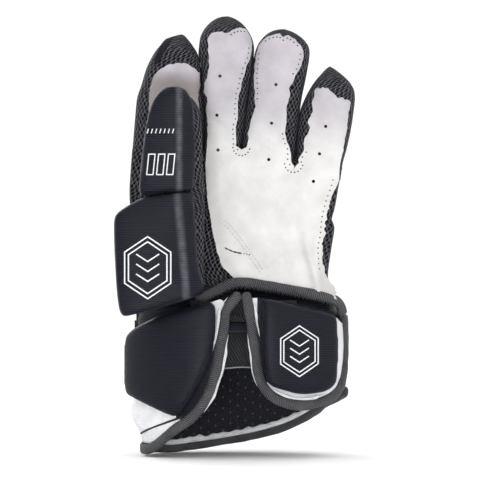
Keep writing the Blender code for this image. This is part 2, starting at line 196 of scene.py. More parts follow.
def weld(piece):
    """Join points that lie on each other; each corner keeps its own texture position."""
    edit(piece, lambda bm: bmesh.ops.remove_doubles(bm, verts=bm.verts, dist=1e-6),
         lambda bm: bmesh.ops.dissolve_degenerate(bm, dist=1e-7, edges=bm.edges))


def fill_ends(piece):
    edit(piece, lambda bm: bmesh.ops.holes_fill(bm, edges=[e for e in bm.edges if e.is_boundary], sides=0))
    piece.data.shade_smooth()


def make(name, points, faces, surface, uvs=None):
    """A mesh object from points in millimetres. uvs gives one (u, v) for each point."""
    mesh = bpy.data.meshes.new(name)
    mesh.from_pydata([tuple(np.array(p) * MM) for p in points], [], faces)
    if uvs is not None:
        layer = mesh.uv_layers.new(name="fabric")
        for loop in mesh.loops:
            layer.data[loop.index].uv = [c * MM for c in uvs[loop.vertex_index]]
    mesh.materials.append(surface)
    made = bpy.data.objects.new(name, mesh)
    bpy.context.scene.collection.objects.link(made)
    edit(made)
    mesh.shade_smooth()
    return made


def finish(piece, body, nodes=()):
    if nodes:
        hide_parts(*nodes)
    if body:
        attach(piece, body)


def grid_faces(rows, columns):
    return [(k, k + 1, k + columns + 1, k + columns)
            for i in range(rows - 1) for k in range(i * columns, (i + 1) * columns - 1)]


def freeze(piece):
    """Replace a piece's mesh with what its modifiers make of it."""
    bpy.context.view_layer.update()
    evaluated = piece.evaluated_get(bpy.context.evaluated_depsgraph_get())
    mesh = bpy.data.meshes.new_from_object(evaluated)
    piece.modifiers.clear()
    old = piece.data
    piece.data = mesh
    bpy.data.meshes.remove(old)


def thicken(piece, thickness, offset=-1.0):
    solidify = piece.modifiers.new("thickness", "SOLIDIFY")
    solidify.thickness = thickness * MM
    solidify.offset = offset
    if piece.data.materials[0] == LEATHER:
        piece.data.materials.append(LEATHER_EDGE)
        solidify.material_offset_rim = 1
    freeze(piece)


def relax(piece, iterations):
    modifier = piece.modifiers.new("relax", "SMOOTH")
    modifier.factor = 0.5
    modifier.iterations = iterations
    freeze(piece)


def texture_positions(rows, column):
    """(u, v) of each point: the distance along its row, and down one column."""
    uvs = []
    down = 0.0
    for i, row in enumerate(rows):
        down += math.dist(row[column], rows[i - 1][column]) if i else 0.0
        run = 0.0
        for j, p in enumerate(row):
            run += math.dist(p, row[j - 1]) if j else 0.0
            uvs.append((run, down))
    return uvs


def sheet_of(name, rows, surface, thickness, closed=False, offset=-1.0):
    """A sheet through rows of points, with its texture laid out in real millimetres."""
    if closed:
        rows = [[*row, row[0]] for row in rows]
    columns = len(rows[0])
    uvs = texture_positions(rows, 0 if closed else columns // 2)
    made = make(name, [p for row in rows for p in row], grid_faces(len(rows), columns), surface, uvs)
    if closed:
        weld(made)
    if thickness:
        thicken(made, thickness, offset)
    return made


def sweep(name, path, normals, half_width, half_height, surface, ripple=0.0, sides=14, taper=0):
    """A soft flattened band along a path. normals point out of the cloth it is sewn on."""
    path = [np.array(p, float) for p in path]
    last = len(path) - 1
    rows = []
    for i, p in enumerate(path):
        ahead = unit(path[min(i + 1, last)] - path[max(i - 1, 0)])
        up = np.array(normals[i], float)
        up = unit(up - ahead * (up @ ahead))
        side = np.cross(ahead, up)
        wave = 1.0 + ripple * noise.noise(Vector(p) * 0.16)
        if taper:
            wave *= min(1.0, (min(i, last - i) + 0.4) / taper)
        rows.append([p + side * (c * half_width * wave) + up * (s * half_height * wave)
                     for c, s in circle(sides, 0.8)])
    for end, inner in ((0, 1), (-1, -2)):
        away = unit(path[end] - path[inner])
        cap, tip = [[path[end] + (q - path[end]) * share + away * half_height * reach for q in rows[end]]
                    for share, reach in ((0.55, 0.5), (0.02, 0.62))]
        rows = [tip, cap, *rows] if end == 0 else [*rows, cap, tip]
    made = sheet_of(name, rows, surface, 0.0, closed=True)
    fill_ends(made)
    return made


# ---------------------------------------------------------------- materials

class Value:
    """What a material's node gives out. Values add, subtract and multiply like numbers."""

    def __init__(self, surface, socket):
        self.surface = surface
        self.socket = socket

    def __add__(self, other):
        return self.surface.math("ADD", self, other)

    def __sub__(self, other):
        return self.surface.math("SUBTRACT", self, other)

    def __mul__(self, other):
        return self.surface.math("MULTIPLY", self, other)


class Surface:
    """A node material under construction, with short names for the nodes it needs."""

    def __init__(self, name, roughness, specular, sheen=0.0, sheen_roughness=0.5):
        self.material = bpy.data.materials.new(name)
        self.material.use_nodes = True
        self.tree = self.material.node_tree
        self.shader = self.tree.nodes["Principled BSDF"]
        self.fill(self.shader, {"Roughness": roughness, "Specular IOR Level": specular,
                                "Sheen Weight": sheen, "Sheen Roughness": sheen_roughness})

    def fill(self, node, inputs):
        """Link values into a node's sockets, or set them to numbers and colours."""
        for key, value in inputs.items():
            if isinstance(value, Value):
                self.tree.links.new(value.socket, node.inputs[key])
            else:
                node.inputs[key].default_value = (*value, 1.0) if isinstance(value, tuple) else value

    def node(self, kind, inputs, output=0, **settings):
        made = self.tree.nodes.new(kind)
        for key, value in settings.items():
            setattr(made, key, value)
        self.fill(made, inputs)
        return Value(self, made.outputs[output])

    def math(self, operation, *terms):
        return self.node("ShaderNodeMath", dict(enumerate(terms)), operation=operation)

    def place(self, kind):
        """Texture position in metres: "UV" follows bending cloth, "Object" suits rigid pieces."""
        where = self.node("ShaderNodeTexCoord", {}, kind)
        return where, [self.node("ShaderNodeSeparateXYZ", {0: where}, axis) for axis in range(3)]

    def noise(self, where, size, detail=3.0):
        """Noise whose blotches are about size millimetres across."""
        return self.node("ShaderNodeTexNoise", {"Scale": 1.0 / (size * MM), "Detail": detail,
                                                "Vector": where}, "Fac")

    def wave(self, position, pitch):
        """Sine of a position, one wave per pitch millimetres."""
        return self.math("SINE", position * (2 * math.pi / (pitch * MM)))

    def spread(self, value, low, high, to_low=0.0, to_high=1.0, shape="LINEAR"):
        """Map a value's range from low to high on to another range."""
        return self.node("ShaderNodeMapRange", {"Value": value, "From Min": low, "From Max": high,
                                                "To Min": to_low, "To Max": to_high},
                         interpolation_type=shape)

    def ramp(self, value, low, high, dark, light):
        """Colour from dark at value low to light at value high."""
        return self.node("ShaderNodeMix", {0: self.spread(value, low, high), 6: dark, 7: light}, 2,
                         data_type="RGBA")

    def mask(self, position, none, full):
        """0 before none millimetres, 1 past full millimetres, with a smooth change between."""
        return self.spread(position, none * MM, full * MM, shape="SMOOTHSTEP")

    def colour(self, value):
        self.fill(self.shader, {"Base Color": value})

    def roughness(self, value, rough_low, rough_high):
        self.fill(self.shader, {"Roughness": self.spread(value, 0.3, 0.7, rough_low, rough_high)})

    def relief(self, height, depth, strength, below=None):
        """Bump of the given depth in millimetres, on top of an earlier one."""
        inputs = {"Strength": strength, "Distance": depth * MM, "Height": height}
        if below:
            inputs["Normal"] = below
        normal = self.node("ShaderNodeBump", inputs)
        self.fill(self.shader, {"Normal": normal})
        return normal


def leather_surface():
    """White synthetic leather: pebbled, faintly creased, greyer towards the fingertips.

    Its texture runs across and along the fingers' frame. Shade is painted into its colour beside the
    thumb, as the thumb's shadow on the index leather, and in its curl at the little finger's side of the
    wrist.
    """
    made = Surface("white_leather", 0.6, 0.3)
    where, (across, along, _) = made.place("UV")
    patches = made.noise(where, 16.0, 5.0)
    white = made.ramp(patches, 0.3, 0.7, (0.555, 0.545, 0.535), (0.675, 0.67, 0.66))
    grey = made.ramp(patches, 0.3, 0.7, (0.375, 0.352, 0.385), (0.50, 0.477, 0.51))
    clean = made.ramp(along, 6.0 * MM, 34.0 * MM, white, grey)
    # Painted shade: darker, browner leather along the palm's edge beside the thumb
    shade_beside_thumb = made.mask(across, -9.0, -19.0) * made.mask(along, 30.0, 8.0) * made.mask(along, -46.0, -24.0)
    # Painted shadow of the thumb's tip on the index finger's leather
    thumb_shadow = made.mask(across, -24.0, -27.0) * made.mask(along, 47.0, 38.0)
    # Painted shade where the leather curls back at the little finger's side of the wrist
    curl_shade = made.mask(across, 48.0, 54.0) * made.mask(along, -34.0, -52.0)
    painted_shade = (shade_beside_thumb * 0.34 + thumb_shadow * 1.1 + curl_shade * 0.4) * (patches * 0.8 + 0.35)
    # Colour of the painted shade and painted shadow
    shade_colour = made.ramp(patches, 0.3, 0.7, (0.20, 0.172, 0.166), (0.31, 0.277, 0.268))
    made.colour(made.ramp(painted_shade, 0.0, 1.0, clean, shade_colour))
    creases = made.relief(made.noise(where, 8.0, 6.0), 1.6, 0.45)
    made.relief(made.noise(where, 0.9, 2.0), 0.16, 0.45, creases)
    made.roughness(patches, 0.50, 0.66)
    return made.material


def edge_surface():
    """Cut edge of the leather: darker, greyish brown, with loose fibres."""
    made = Surface("leather_edge", 0.8, 0.2)
    fibres = made.noise(made.place("Object")[0], 0.6)
    made.colour(made.ramp(fibres, 0.3, 0.7, (0.20, 0.18, 0.18), (0.42, 0.39, 0.39)))
    made.relief(fibres, 0.15, 0.5)
    return made.material


def mesh_surface():
    """Black spacer knit: threads cross in diamonds round dark openings."""
    made = Surface("black_mesh", 0.6, 0.1, 0.03)
    where, (u, v, _) = made.place("UV")
    across = u + made.noise(where, 3.0) * (2.2 * MM)
    along = v * 0.62
    one = made.wave(across + along, 2.6)
    two = made.wave(across - along, 2.6)
    knots = made.math("MAXIMUM", one, two) + (one + two) * 0.35
    tone = knots * (made.noise(where, 1.3, 2.0) + 0.35)
    made.colour(made.ramp(tone, 0.15, 1.25, (0.002, 0.002, 0.003), (0.12, 0.12, 0.14)))
    made.relief(knots, 0.7, 1.0)
    return made.material


def nylon_surface(name, ridge=None):
    """Navy-black pad cloth with fine level ribs. ridge is (X at Z 0, X per Z, half width) of a paler band
    painted where the cloth is stretched over a hard edge: a painted highlight, partly real wear of the
    fibres."""
    made = Surface(name, 0.42, 0.15, 0.02, 0.4)
    where, (x, _, z) = made.place("Object")
    ribs = made.wave(z + made.noise(where, 14.0, 2.0) * (0.8 * MM), 1.35)
    weave = ribs * 0.5 + made.noise(where, 0.8, 2.0)
    cloth = made.ramp(weave, 0.0, 1.1, (0.0016, 0.0018, 0.004), (0.010, 0.011, 0.020))
    if ridge:
        at, slope, half_width = ridge
        off = made.math("ABSOLUTE", x - (z * slope + at * MM))
        fibres = made.noise(where, 4.0, 5.0) * 1.3 * (ribs * 0.16 + 1.0)
        # Painted highlight along the ridge, partly real fibre wear
        cloth = made.ramp(made.mask(off, half_width, 0.0) * fibres, 0.0, 1.0, cloth, (0.10, 0.10, 0.118))
    made.colour(cloth)
    made.roughness(made.noise(where, 30.0), 0.38, 0.48)
    made.relief(weave, 0.16, 0.5)
    return made.material


def knit_surface(name, dark, light, pitch):
    """Smooth white knit with fine upright wales."""
    made = Surface(name, 0.7, 0.3, 0.15)
    where, (u, v, _) = made.place("UV")
    loops = made.wave(u, pitch) + made.wave(v, pitch * 0.8) * 0.6
    puffs = made.noise(where, 6.0)
    made.colour(made.ramp(loops * 0.12 + puffs, 0.25, 0.75, dark, light))
    made.relief(loops, 0.2, 0.5, made.relief(puffs, 0.8, 0.4))
    return made.material


def tape_surface():
    """Charcoal twill binding: ribs run across the tape."""
    made = Surface("charcoal_tape", 0.62, 0.15, 0.05, 0.45)
    where, (u, v, _) = made.place("UV")
    weave = made.wave(v + u * 0.45, 1.15) * 0.4 + made.noise(where, 0.7)
    tone = weave * 0.6 + made.noise(where, 11.0) * 0.5
    made.colour(made.ramp(tone, 0.25, 0.95, (0.007, 0.007, 0.009), (0.13, 0.13, 0.14)))
    made.relief(weave, 0.3, 0.8)
    return made.material


def lining_surface():
    """Black brushed lining with rows of tiny paler eyelets, every other row shifted by half."""
    made = Surface("black_lining", 0.85, 0.2)
    where, (u, v, _) = made.place("UV")
    row = made.math("DIVIDE", v, 4.4 * MM)
    shift = made.math("MODULO", made.math("FLOOR", row), 2.0) * 0.5
    dx = made.math("FRACT", made.math("DIVIDE", u, 6.4 * MM) + shift) - 0.5
    dy = made.math("FRACT", row) - 0.5
    pile = made.noise(where, 1.0)
    cloth = made.ramp(pile, 0.3, 0.75, (0.004, 0.004, 0.006), (0.030, 0.031, 0.040))
    made.colour(made.ramp(dx * dx + dy * dy, 0.011, 0.006, cloth, (0.09, 0.09, 0.10)))
    made.relief(pile, 0.4, 0.6)
    return made.material


def elastic_surface():
    """Black elastic with slanting ribs."""
    made = Surface("black_elastic", 0.7, 0.35)
    _, (u, v, _) = made.place("UV")
    weave = made.wave(v + u * 0.55, 1.7) + made.wave(u - v, 0.9) * 0.35
    made.colour(made.ramp(weave, -0.8, 1.2, (0.003, 0.003, 0.004), (0.030, 0.030, 0.035)))
    made.relief(weave, 0.4, 0.7)
    return made.material


def thread_surface(name, colour):
    made = Surface(name, 0.6, 0.4)
    twist = made.noise(made.place("Object")[0], 0.5, 1.0)
    made.colour(made.ramp(twist, 0.3, 0.7, tuple(c * 0.6 for c in colour), colour))
    made.relief(twist, 0.1, 0.4)
    return made.material


def print_surface():
    """Screen-printed white ink, slightly broken by the cloth's ribs."""
    made = Surface("white_print", 0.55, 0.4)
    where, (_, _, z) = made.place("Object")
    grain = made.wave(z, 1.35) * 0.25 + made.noise(where, 0.9, 2.0)
    made.colour(made.ramp(grain, 0.1, 0.8, (0.62, 0.63, 0.65), (0.84, 0.85, 0.87)))
    made.relief(grain, 0.08, 0.4)
    return made.material


def plain_surface(name, colour, roughness):
    made = Surface(name, roughness, 0.2)
    made.colour(colour)
    return made.material


LEATHER = leather_surface()
LEATHER_EDGE = edge_surface()
MESH = mesh_surface()
NYLON = nylon_surface("navy_nylon")
# Copies of the nylon with a painted highlight along their pads' ridges
NYLON_BASE = nylon_surface("navy_nylon_thumb_base", (-29.8, -0.09, 3.4))
NYLON_TIP = nylon_surface("navy_nylon_thumb_tip", (-34.2, 0.0, 2.9))
KNIT = knit_surface("white_knit", (0.70, 0.71, 0.74), (0.88, 0.88, 0.90), 1.1)
TRIM = knit_surface("white_trim", (0.55, 0.57, 0.60), (0.86, 0.87, 0.88), 1.4)
TAPE = tape_surface()
LINING = lining_surface()
ELASTIC = elastic_surface()
DARK_THREAD = thread_surface("dark_thread", (0.02, 0.018, 0.018))
PALE_THREAD = thread_surface("pale_thread", (0.62, 0.61, 0.60))
GREY_THREAD = thread_surface("grey_thread", (0.24, 0.24, 0.26))
INK = print_surface()


# ---------------------------------------------------------------- fingers

class Finger:
    """One finger, in the fingers' frame.

    middle is its middle joint. left and right are the sides of its sleeve, cut_left and
    cut_right those of its leather, as (along, across) rows. cut_top is the leather's top edge as
    (share across, along), and holes are the (X, Z) places of its air holes.
    """

    def __init__(self, name, middle, left, right, cut_left, cut_right, cut_top, holes):
        self.name = name
        self.middle = middle
        self.left, self.right = left, right
        self.cut_left, self.cut_right, self.cut_top = cut_left, cut_right, cut_top
        self.holes = holes
        self.tip = left[-1][0]

    def section(self, along):
        """(centre, half width, half depth) of the sleeve at a distance from the knuckle."""
        left, right = smooth(self.left, along), smooth(self.right, along)
        share = min(max((along - self.tip) / 15.0 + 1.0, 0.0), 1.0)
        fall = math.sqrt(max(0.0, 1 - share ** 2.4))
        depth = (SLEEVE_BACK - FRONT) / 2
        return (left + right) / 2, max((right - left) / 2, 0.05), max(depth * fall, 0.05)

    def front(self, across, along):
        """Depth of the sleeve's palm side at a point."""
        centre, half, depth = self.section(along)
        share = min(abs(across - centre) / half, 0.999)
        return (SLEEVE_BACK + FRONT) / 2 - depth * (1 - share ** SQUARENESS) ** (1 / SQUARENESS)

    def leather(self, across, along):
        """Depth of the finger's leather. Near the palm it joins the palm's own leather."""
        ripple = 0.45 * noise.noise(Vector((across * 0.10, along * 0.07, self.tip)))
        if self.name == "middle":
            ripple += 0.5 * bump(along + 0.7 * across, 8.0, 1.8)
        share = 1.0 if self.name == "index" else step(2.0, 15.0, along)
        return (palm_front(across, along) * (1 - share)
                + (self.front(across, along) - LEATHER_LIFT - 0.2 + ripple) * share)

    def on_leather(self, across, along):
        return on_hand(across, along, self.leather(across, along))

    def leather_normal(self, across, along):
        """Outward direction of the leather, from its slope."""
        rise = self.leather(across + 0.6, along) - self.leather(across - 0.6, along)
        return -OUT + ACROSS * (rise / 1.2)

    def cut(self, share, along):
        """Where the leather's uneven cut edges lie across the finger, from left (0) to right (1)."""
        ragged = 0.7 * step(4.0, 9.0, along)
        left = smooth(self.cut_left, along) + crinkle(along, 0.0, 3.1, ragged)
        right = smooth(self.cut_right, along) + crinkle(along, 5.0, 7.7, ragged)
        return left + (right - left) * share


FINGERS = [
    Finger("index", 34.0,
           [(-8, -62.0), (0, -62.2), (27, -62.3), (37, -60.2), (45, -58.6), (52, -56.2), (60, -51.6),
            (64.6, -46.2), (66.8, -42.4), (67.6, -39.6)],
           [(-8, -21.2), (0, -21.2), (14, -21.4), (27, -22.8), (34, -24.6), (39, -25.4), (47, -26.4),
            (52, -27.6), (57, -29.4), (62, -33.0), (65.4, -36.2), (67.0, -38.0), (67.6, -39.4)],
           [(-4, -55.2), (14.7, -54.3), (31.9, -54.9), (38, -54.4), (42, -53.0)],
           [(-4, -24.4), (10, -24.8), (25, -25.8), (34.3, -26.9), (40, -26.8), (46.7, -27.2)],
           [(0, 42.5), (0.08, 45.2), (0.2, 47.6), (0.4, 49.7), (0.62, 50.8), (0.72, 50.2), (0.84, 48.8),
            (0.92, 47.2), (1, 46.4)],
           []),
    Finger("middle", 40.0,
           [(-8, -21.6), (0, -21.6), (14, -22.0), (26, -23.3), (34, -25.1), (42, -26.0), (50, -27.0),
            (58, -29.2), (66, -29.0), (71, -27.4), (75, -24.6), (78, -21.2), (79.7, -17.6),
            (80.3, -14.2)],
           [(-8, 0.5), (0, 0.5), (26, 1.4), (42, 2.1), (50, 2.7), (57, 2.9), (63, 2.7), (68.4, 1.2),
            (72, -1.0), (75.4, -3.8), (78, -7.4), (79.7, -11.2), (80.3, -14.0)],
           [(-8, -19.4), (3, -19.4), (10, -19.6), (20, -20.8), (26, -21.9), (31, -21.4), (36.4, -24.2),
            (40, -24.0), (44, -22.6), (50, -22.4), (60, -23.6), (67, -24.3)],
           [(-8, 0.2), (4.3, 0.2), (4.9, -1.6), (6.2, -3.0), (10.7, -3.3), (17, -4.0), (23, -3.4),
            (31, -3.9), (40.4, -2.9), (46, -1.9), (52, -0.7), (58.7, 1.4), (65, 1.2), (71, -0.6)],
           [(0, 66.4), (0.06, 68.6), (0.16, 70.2), (0.28, 70.9), (0.4, 70.3), (0.5, 70.6), (0.6, 72.4),
            (0.75, 73.6), (0.87, 73.8), (0.95, 72.2), (1, 69.6)],
           [(-11.5, 129.6), (-13.2, 107.2), (-12.6, 87.2)]),
    Finger("ring", 38.0,
           [(-8, 0.1), (0, 0.1), (38, 1.4), (50, 2.3), (60, 3.2), (65, 4.4), (69, 6.6), (72, 9.2),
            (74.2, 12.6), (75.3, 16.0), (75.8, 19.0)],
           [(-8, 31.9), (0, 31.9), (24, 32.0), (31, 32.2), (38, 32.6), (46, 33.6), (54, 34.4), (62, 34.9),
            (66, 34.3), (69.4, 32.0), (72.6, 28.0), (74.6, 23.8), (75.8, 19.2)],
           [(-8, 0.2), (4.2, 0.2), (4.8, 2.0), (6, 3.4), (10, 3.9), (14, 3.5), (18.8, 4.0), (24, 5.0),
            (29.6, 6.3), (33, 5.6), (37, 5.2), (42.7, 4.4), (52, 3.7), (61.8, 4.3), (66, 5.6)],
           [(-8, 31.5), (-2.5, 31.5), (-1.9, 30.4), (0, 29.4), (3, 29.2), (6.8, 28.0), (12, 25.6),
            (17.8, 24.3), (24, 24.6), (30.2, 24.2), (37, 25.4), (41.6, 24.6), (45, 26.6), (48.5, 27.2),
            (52.6, 29.6), (60.4, 31.4), (66, 30.4)],
           [(0, 64.6), (0.05, 67.4), (0.12, 69.2), (0.22, 71.0), (0.34, 72.0), (0.44, 72.4), (0.48, 71.2),
            (0.52, 70.2), (0.56, 71.4), (0.6, 72.1), (0.7, 71.4), (0.8, 69.8), (0.88, 68.0), (0.95, 66.0),
            (1, 63.8)],
           [(20.6, 124.7), (18.1, 102.6), (16.5, 81.7)]),
    Finger("pinky", 28.0,
           [(-8, 31.5), (0, 31.5), (20, 31.7), (29, 32.1), (36, 34.0), (42, 36.4), (47.6, 39.4),
            (52, 42.6), (55, 45.0), (56.6, 46.8)],
           [(-8, 58.9), (0, 59.2), (10, 60.9), (20, 62.2), (29, 62.9), (38, 63.2), (43, 62.6), (47.6, 60.0),
            (51, 56.4), (54, 52.0), (56, 48.6), (56.6, 47.0)],
           [(-8, 31.6), (-2.8, 31.6), (-2.2, 32.8), (-0.5, 34.0), (1.0, 33.4), (4.3, 35.0), (7.5, 36.4),
            (11, 35.6), (17, 37.5), (20, 38.4), (23.4, 36.9), (27, 38.4), (30.5, 39.3), (34, 38.6),
            (40, 39.4)],
           [(-8, 57.6), (0, 57.6), (8, 58.5), (15, 59.0), (23, 59.7), (30.4, 60.0), (36.2, 60.8)],
           [(0, 41.4), (0.06, 42.9), (0.2, 43.5), (0.36, 43.0), (0.46, 41.7), (0.56, 40.4), (0.64, 38.6),
            (0.72, 39.0), (0.84, 37.9), (0.93, 37.4), (1, 36.2)],
           [(49.1, 100.7), (45.6, 85.0), (42.1, 69.2)]),
]
# Sides of the palm leather as (Z, X), and its lower edge as (X, Z)
PALM_LEFT = [(0, -2.4), (12.3, -2.8), (16, -6.0), (20.4, -9.9), (28, -12.8), (37.3, -14.9), (51.6, -17.6),
             (64, -19.0), (90, -19.9)]
PALM_RIGHT = [(3.0, 55.4), (7, 54.4), (10.9, 52.4), (15, 49.4), (21.2, 47.5), (31, 47.1), (38.1, 48.4),
              (47, 49.2), (58.1, 51.8), (66, 54.6), (78.1, 57.4), (90, 59.0)]
PALM_BOTTOM = [(-20, 5.0), (-9, 9.5), (-2.3, 12.2), (5.3, 12.4), (24.3, 9.6), (43.3, 5.8), (56, 2.4)]

# Rows of edge stitches for each finger: (side, start, end), where side 0 is left and 1 is right
STITCHED = {"index": (), "middle": ((1.0, 4.0, 70.0),),
            "ring": ((0.0, 34.0, 70.0), (1.0, -2.0, 16.0), (1.0, 50.0, 70.0)), "pinky": ((0.0, 0.0, 6.0),)}
# First and last stitch round the top of each finger's leather, of a row of eleven
TOP_STITCHED = {"index": (1, 1), "middle": (6, 11), "ring": (1, 11), "pinky": (1, 1)}


def palm_front(across, along):
    """Depth of the palm leather: almost flat, rolling back at its edges and creased low down."""
    x, _, z = on_hand(across, along, 0.0)
    left, right = smooth(PALM_LEFT, z), smooth(PALM_RIGHT, z)
    low = 1.0 - step(24.0, 52.0, z)
    depth = FRONT - LEATHER_LIFT + 0.3
    depth += 0.9 * math.exp(-((x - 18) / 21) ** 2 - ((z - 46) / 24) ** 2)
    depth += 1.2 * (1.0 - step(left - 1.0, left + 8.0, x))
    depth += (0.8 + 0.9 * low) * step(right - 8.5, right + 0.5, x)
    fold = 46.5 + 0.16 * (8.0 - z) - 2.0 * step(10.0, 36.0, z)
    depth += low * (0.9 * bump(x, fold - 7.0, 2.8) - 2.4 * bump(x, fold - 2.0, 2.4))
    depth -= 0.8 * low * bump(x + 0.35 * z, 40.0, 5.0)
    depth += 0.5 * noise.noise(Vector((x * 0.05, z * 0.05, 4.0)))
    return depth - 2.2 * (1.0 - step(6.0, 22.0, z))


def crinkle(a, b, seed, size):
    """Uneven hand-cut edge: a small shift that varies along it."""
    return size * noise.noise(Vector((a * 0.33, b * 0.33, seed)))


def finish_leather(piece, holes):
    """Cut round air holes at (X, Z) places, and lay the texture across and along the fingers."""
    crisp(piece)
    for x, z in holes:
        bpy.ops.mesh.primitive_cylinder_add(vertices=20, radius=HOLE_RADIUS * MM, depth=20 * MM,
                                            location=(x * MM, -18 * MM, z * MM),
                                            rotation=(math.pi / 2, 0, 0))
        cutter = bpy.context.object
        cut = piece.modifiers.new("hole", "BOOLEAN")
        cut.operation = "DIFFERENCE"
        cut.object = cutter
        freeze(piece)
        bpy.data.objects.remove(cutter)
    layer = piece.data.uv_layers[0]
    for loop in piece.data.loops:
        x, _, z = piece.data.vertices[loop.vertex_index].co / MM
        layer.data[loop.index].uv = [c * MM for c in hand_coordinates(x, z)]


def crisp(piece):
    """Turn a leather's faces outwards, and keep its cut edges sharp."""
    edit(piece)
    piece.data.shade_smooth()
    piece.data.set_sharp_from_angle(angle=math.radians(50))


def stitch_dots(name, points, normals):
    """Small flattened domes, one for each stitch, as one mesh."""
    verts, faces = [], []
    for p, n in zip(points, normals):
        n = unit(n)
        side = unit(np.cross(n, np.array((0.0, 0.0, 1.0))))
        up = np.cross(side, n)
        first = len(verts)
        for ring, lift in ((1.0, -0.12), (0.8, 0.1)):
            verts += [p + (side * c + up * s) * STITCH_SIZE * ring + n * lift for c, s in circle(8)]
        verts.append(p + n * 0.16)
        for k in range(8):
            m = (k + 1) % 8
            faces.append((first + k, first + m, first + 8 + m, first + 8 + k))
            faces.append((first + 8 + k, first + 8 + m, first + 16))
        faces.append(tuple(first + k for k in reversed(range(8))))
    return make(name, verts, faces, DARK_THREAD, [(0, 0)] * len(verts))


def join(piece, other):
    """Merge another mesh object into a piece, keeping both materials."""
    bpy.ops.object.select_all(action="DESELECT")
    other.select_set(True)
    piece.select_set(True)
    bpy.context.view_layer.objects.active = piece
    bpy.ops.object.join()


def stitch_places(finger, low, high):
    """(across, along) of the stitches just inside a leather's sides, between two distances."""
    places = []
    for side, start, end in STITCHED[finger.name]:
        run = max(start, low + 1.4)
        while run < min(end, high):
            inset = 1.7 if side == 0.0 else -1.7
            places.append((finger.cut(side, run) + inset + crinkle(run, 2.0, 6.0, 0.5), run))
            run += 2.9 + 0.6 * noise.noise(Vector((run, 3.0, 1.0)))
    return places


def top_stitch_places(finger):
    """(across, along) of the stitches round the leather's top edge."""
    places = []
    for k in range(*TOP_STITCHED[finger.name]):
        a = 0.05 + 0.9 * k / 11
        along = smooth(finger.cut_top, a) - 2.0
        places.append((finger.cut(a, along), along))
    return places


def crotch_stitches():
    """Stitches under the two forks between the fingers."""
    for name, across, along, reach, body in (("fork_middle_ring", 0.3, 6.2, 5.0, "middle_base"),
                                             ("fork_ring_pinky", 31.0, -0.4, 5.4, "ring_base")):
        points = []
        for k in range(8):
            turn = math.pi * (0.08 + 0.84 * k / 7)
            a, s = across - reach * math.cos(turn), along - (reach + 0.6) * math.sin(turn)
            points.append(on_hand(a, s, palm_front(a, s)))
        split_bend(stitch_dots(name, points, [-OUT] * len(points)), "hand", body, 0.0)


def sleeve_rows(finger, start, end):
    """Rings of a finger's sleeve about 2 mm apart, closer together towards a rounded tip."""
    count = max(2, round((end - start) / 2.0))
    shares = np.linspace(0, 1, count + 1)
    if end == finger.tip:
        shares = [math.sin(math.pi / 2 * k / (count + 6)) for k in range(count + 7)]
    rows = []
    for share in shares:
        along = start + (end - start) * share
        centre, half, depth = finger.section(along)
        nearest = FRONT + 2.6 * (1.0 - step(-2.0, 3.0, along))
        rows.append([on_hand(centre + half * c, along, max((SLEEVE_BACK + FRONT) / 2 + depth * s, nearest))
                     for c, s in circle(36, 2 / SQUARENESS, math.pi / 2)])
    return rows


def tip_cap(finger, start, share, half_width):
    """A smooth cloth strip over the seam that runs to a pointed fingertip."""
    path, normals = [], []
    for along in np.linspace(start, finger.tip - 1.2, 25):
        centre, half, _ = finger.section(along)
        across = centre + half * share
        path.append(on_hand(across, along, finger.front(across, along) - 0.1))
        normals.append(-OUT + ACROSS * 0.9 * share)
    strip = sweep(finger.name + "_tip_cap", path, normals, half_width, 0.7, NYLON, 0.2, 10, 5)
    finish(strip, finger.name + "_tip")


def split_bend(piece, lower, upper, along):
    """Bake a piece's placement into its points; it is not blended between bodies."""
    tuple(on_hand(0, along - BEND_REACH, 0) * MM)
    tuple(on_hand(0, along + BEND_REACH, 0) * MM)
    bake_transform(piece)


def build_finger(finger):
    name = finger.name
    if name == "index":
        tip_cap(finger, finger.tip - 20.0, -0.72, 2.4)
    base, tip = name + "_base", name + "_tip"
    half = finger.middle / 2
    lower = sheet_of(name + "_sleeve_lower", sleeve_rows(finger, -8.0, half + 0.2), MESH, 0.0, True)
    upper = sheet_of(name + "_sleeve_upper", sleeve_rows(finger, half, finger.tip), MESH, 0.0, True)
    fill_ends(lower)
    fill_ends(upper)
    split_bend(lower, "hand", base, 0.0)
    split_bend(upper, base, tip, finger.middle)
    finish(lower, None, [base + "_stall"])
    finish(upper, None, [tip + "_stall"])

    start = INDEX_START if name == "index" else PALM_TOP
    build_finger_leather(finger, "lower", start, half, half, max(8, round(half / 1.3)))
    build_finger_leather(finger, "upper", half, finger.tip, smooth(finger.cut_top, 0.0) - 2.0, 30)


def build_finger_leather(finger, part, low, high, last_stitch, rows):
    """The leather on one half of a finger. The upper half ends in the ragged cut top."""
    grid = [[] for _ in range(rows + 1)]
    for a in np.linspace(0, 1, 37):
        top = high
        if part == "upper":
            top = smooth(finger.cut_top, a) + crinkle(a * 40, finger.tip, 1.3, 0.9)
        for i, row in enumerate(grid):
            along = low + (top - low) * i / rows
            row.append(finger.on_leather(finger.cut(a, along), along))
    leather = sheet_of(f"{finger.name}_leather_{part}", grid, LEATHER, LEATHER_THICKNESS)
    finish_leather(leather, [hole for hole in finger.holes if low < hand_coordinates(*hole)[1] < high])
    places = stitch_places(finger, low, last_stitch)
    if part == "upper":
        places += top_stitch_places(finger)
    if places:
        join(leather, stitch_dots("dots", [finger.on_leather(*place) for place in places],
                                  [finger.leather_normal(*place) for place in places]))
    base, tip = finger.name + "_base", finger.name + "_tip"
    if part == "lower":
        split_bend(leather, "hand", base, 0.0)
        finish(leather, None, [base + "_leather"])
    else:
        split_bend(leather, base, tip, finger.middle)
        finish(leather, None, [tip + "_leather"])


# ---------------------------------------------------------------- hand

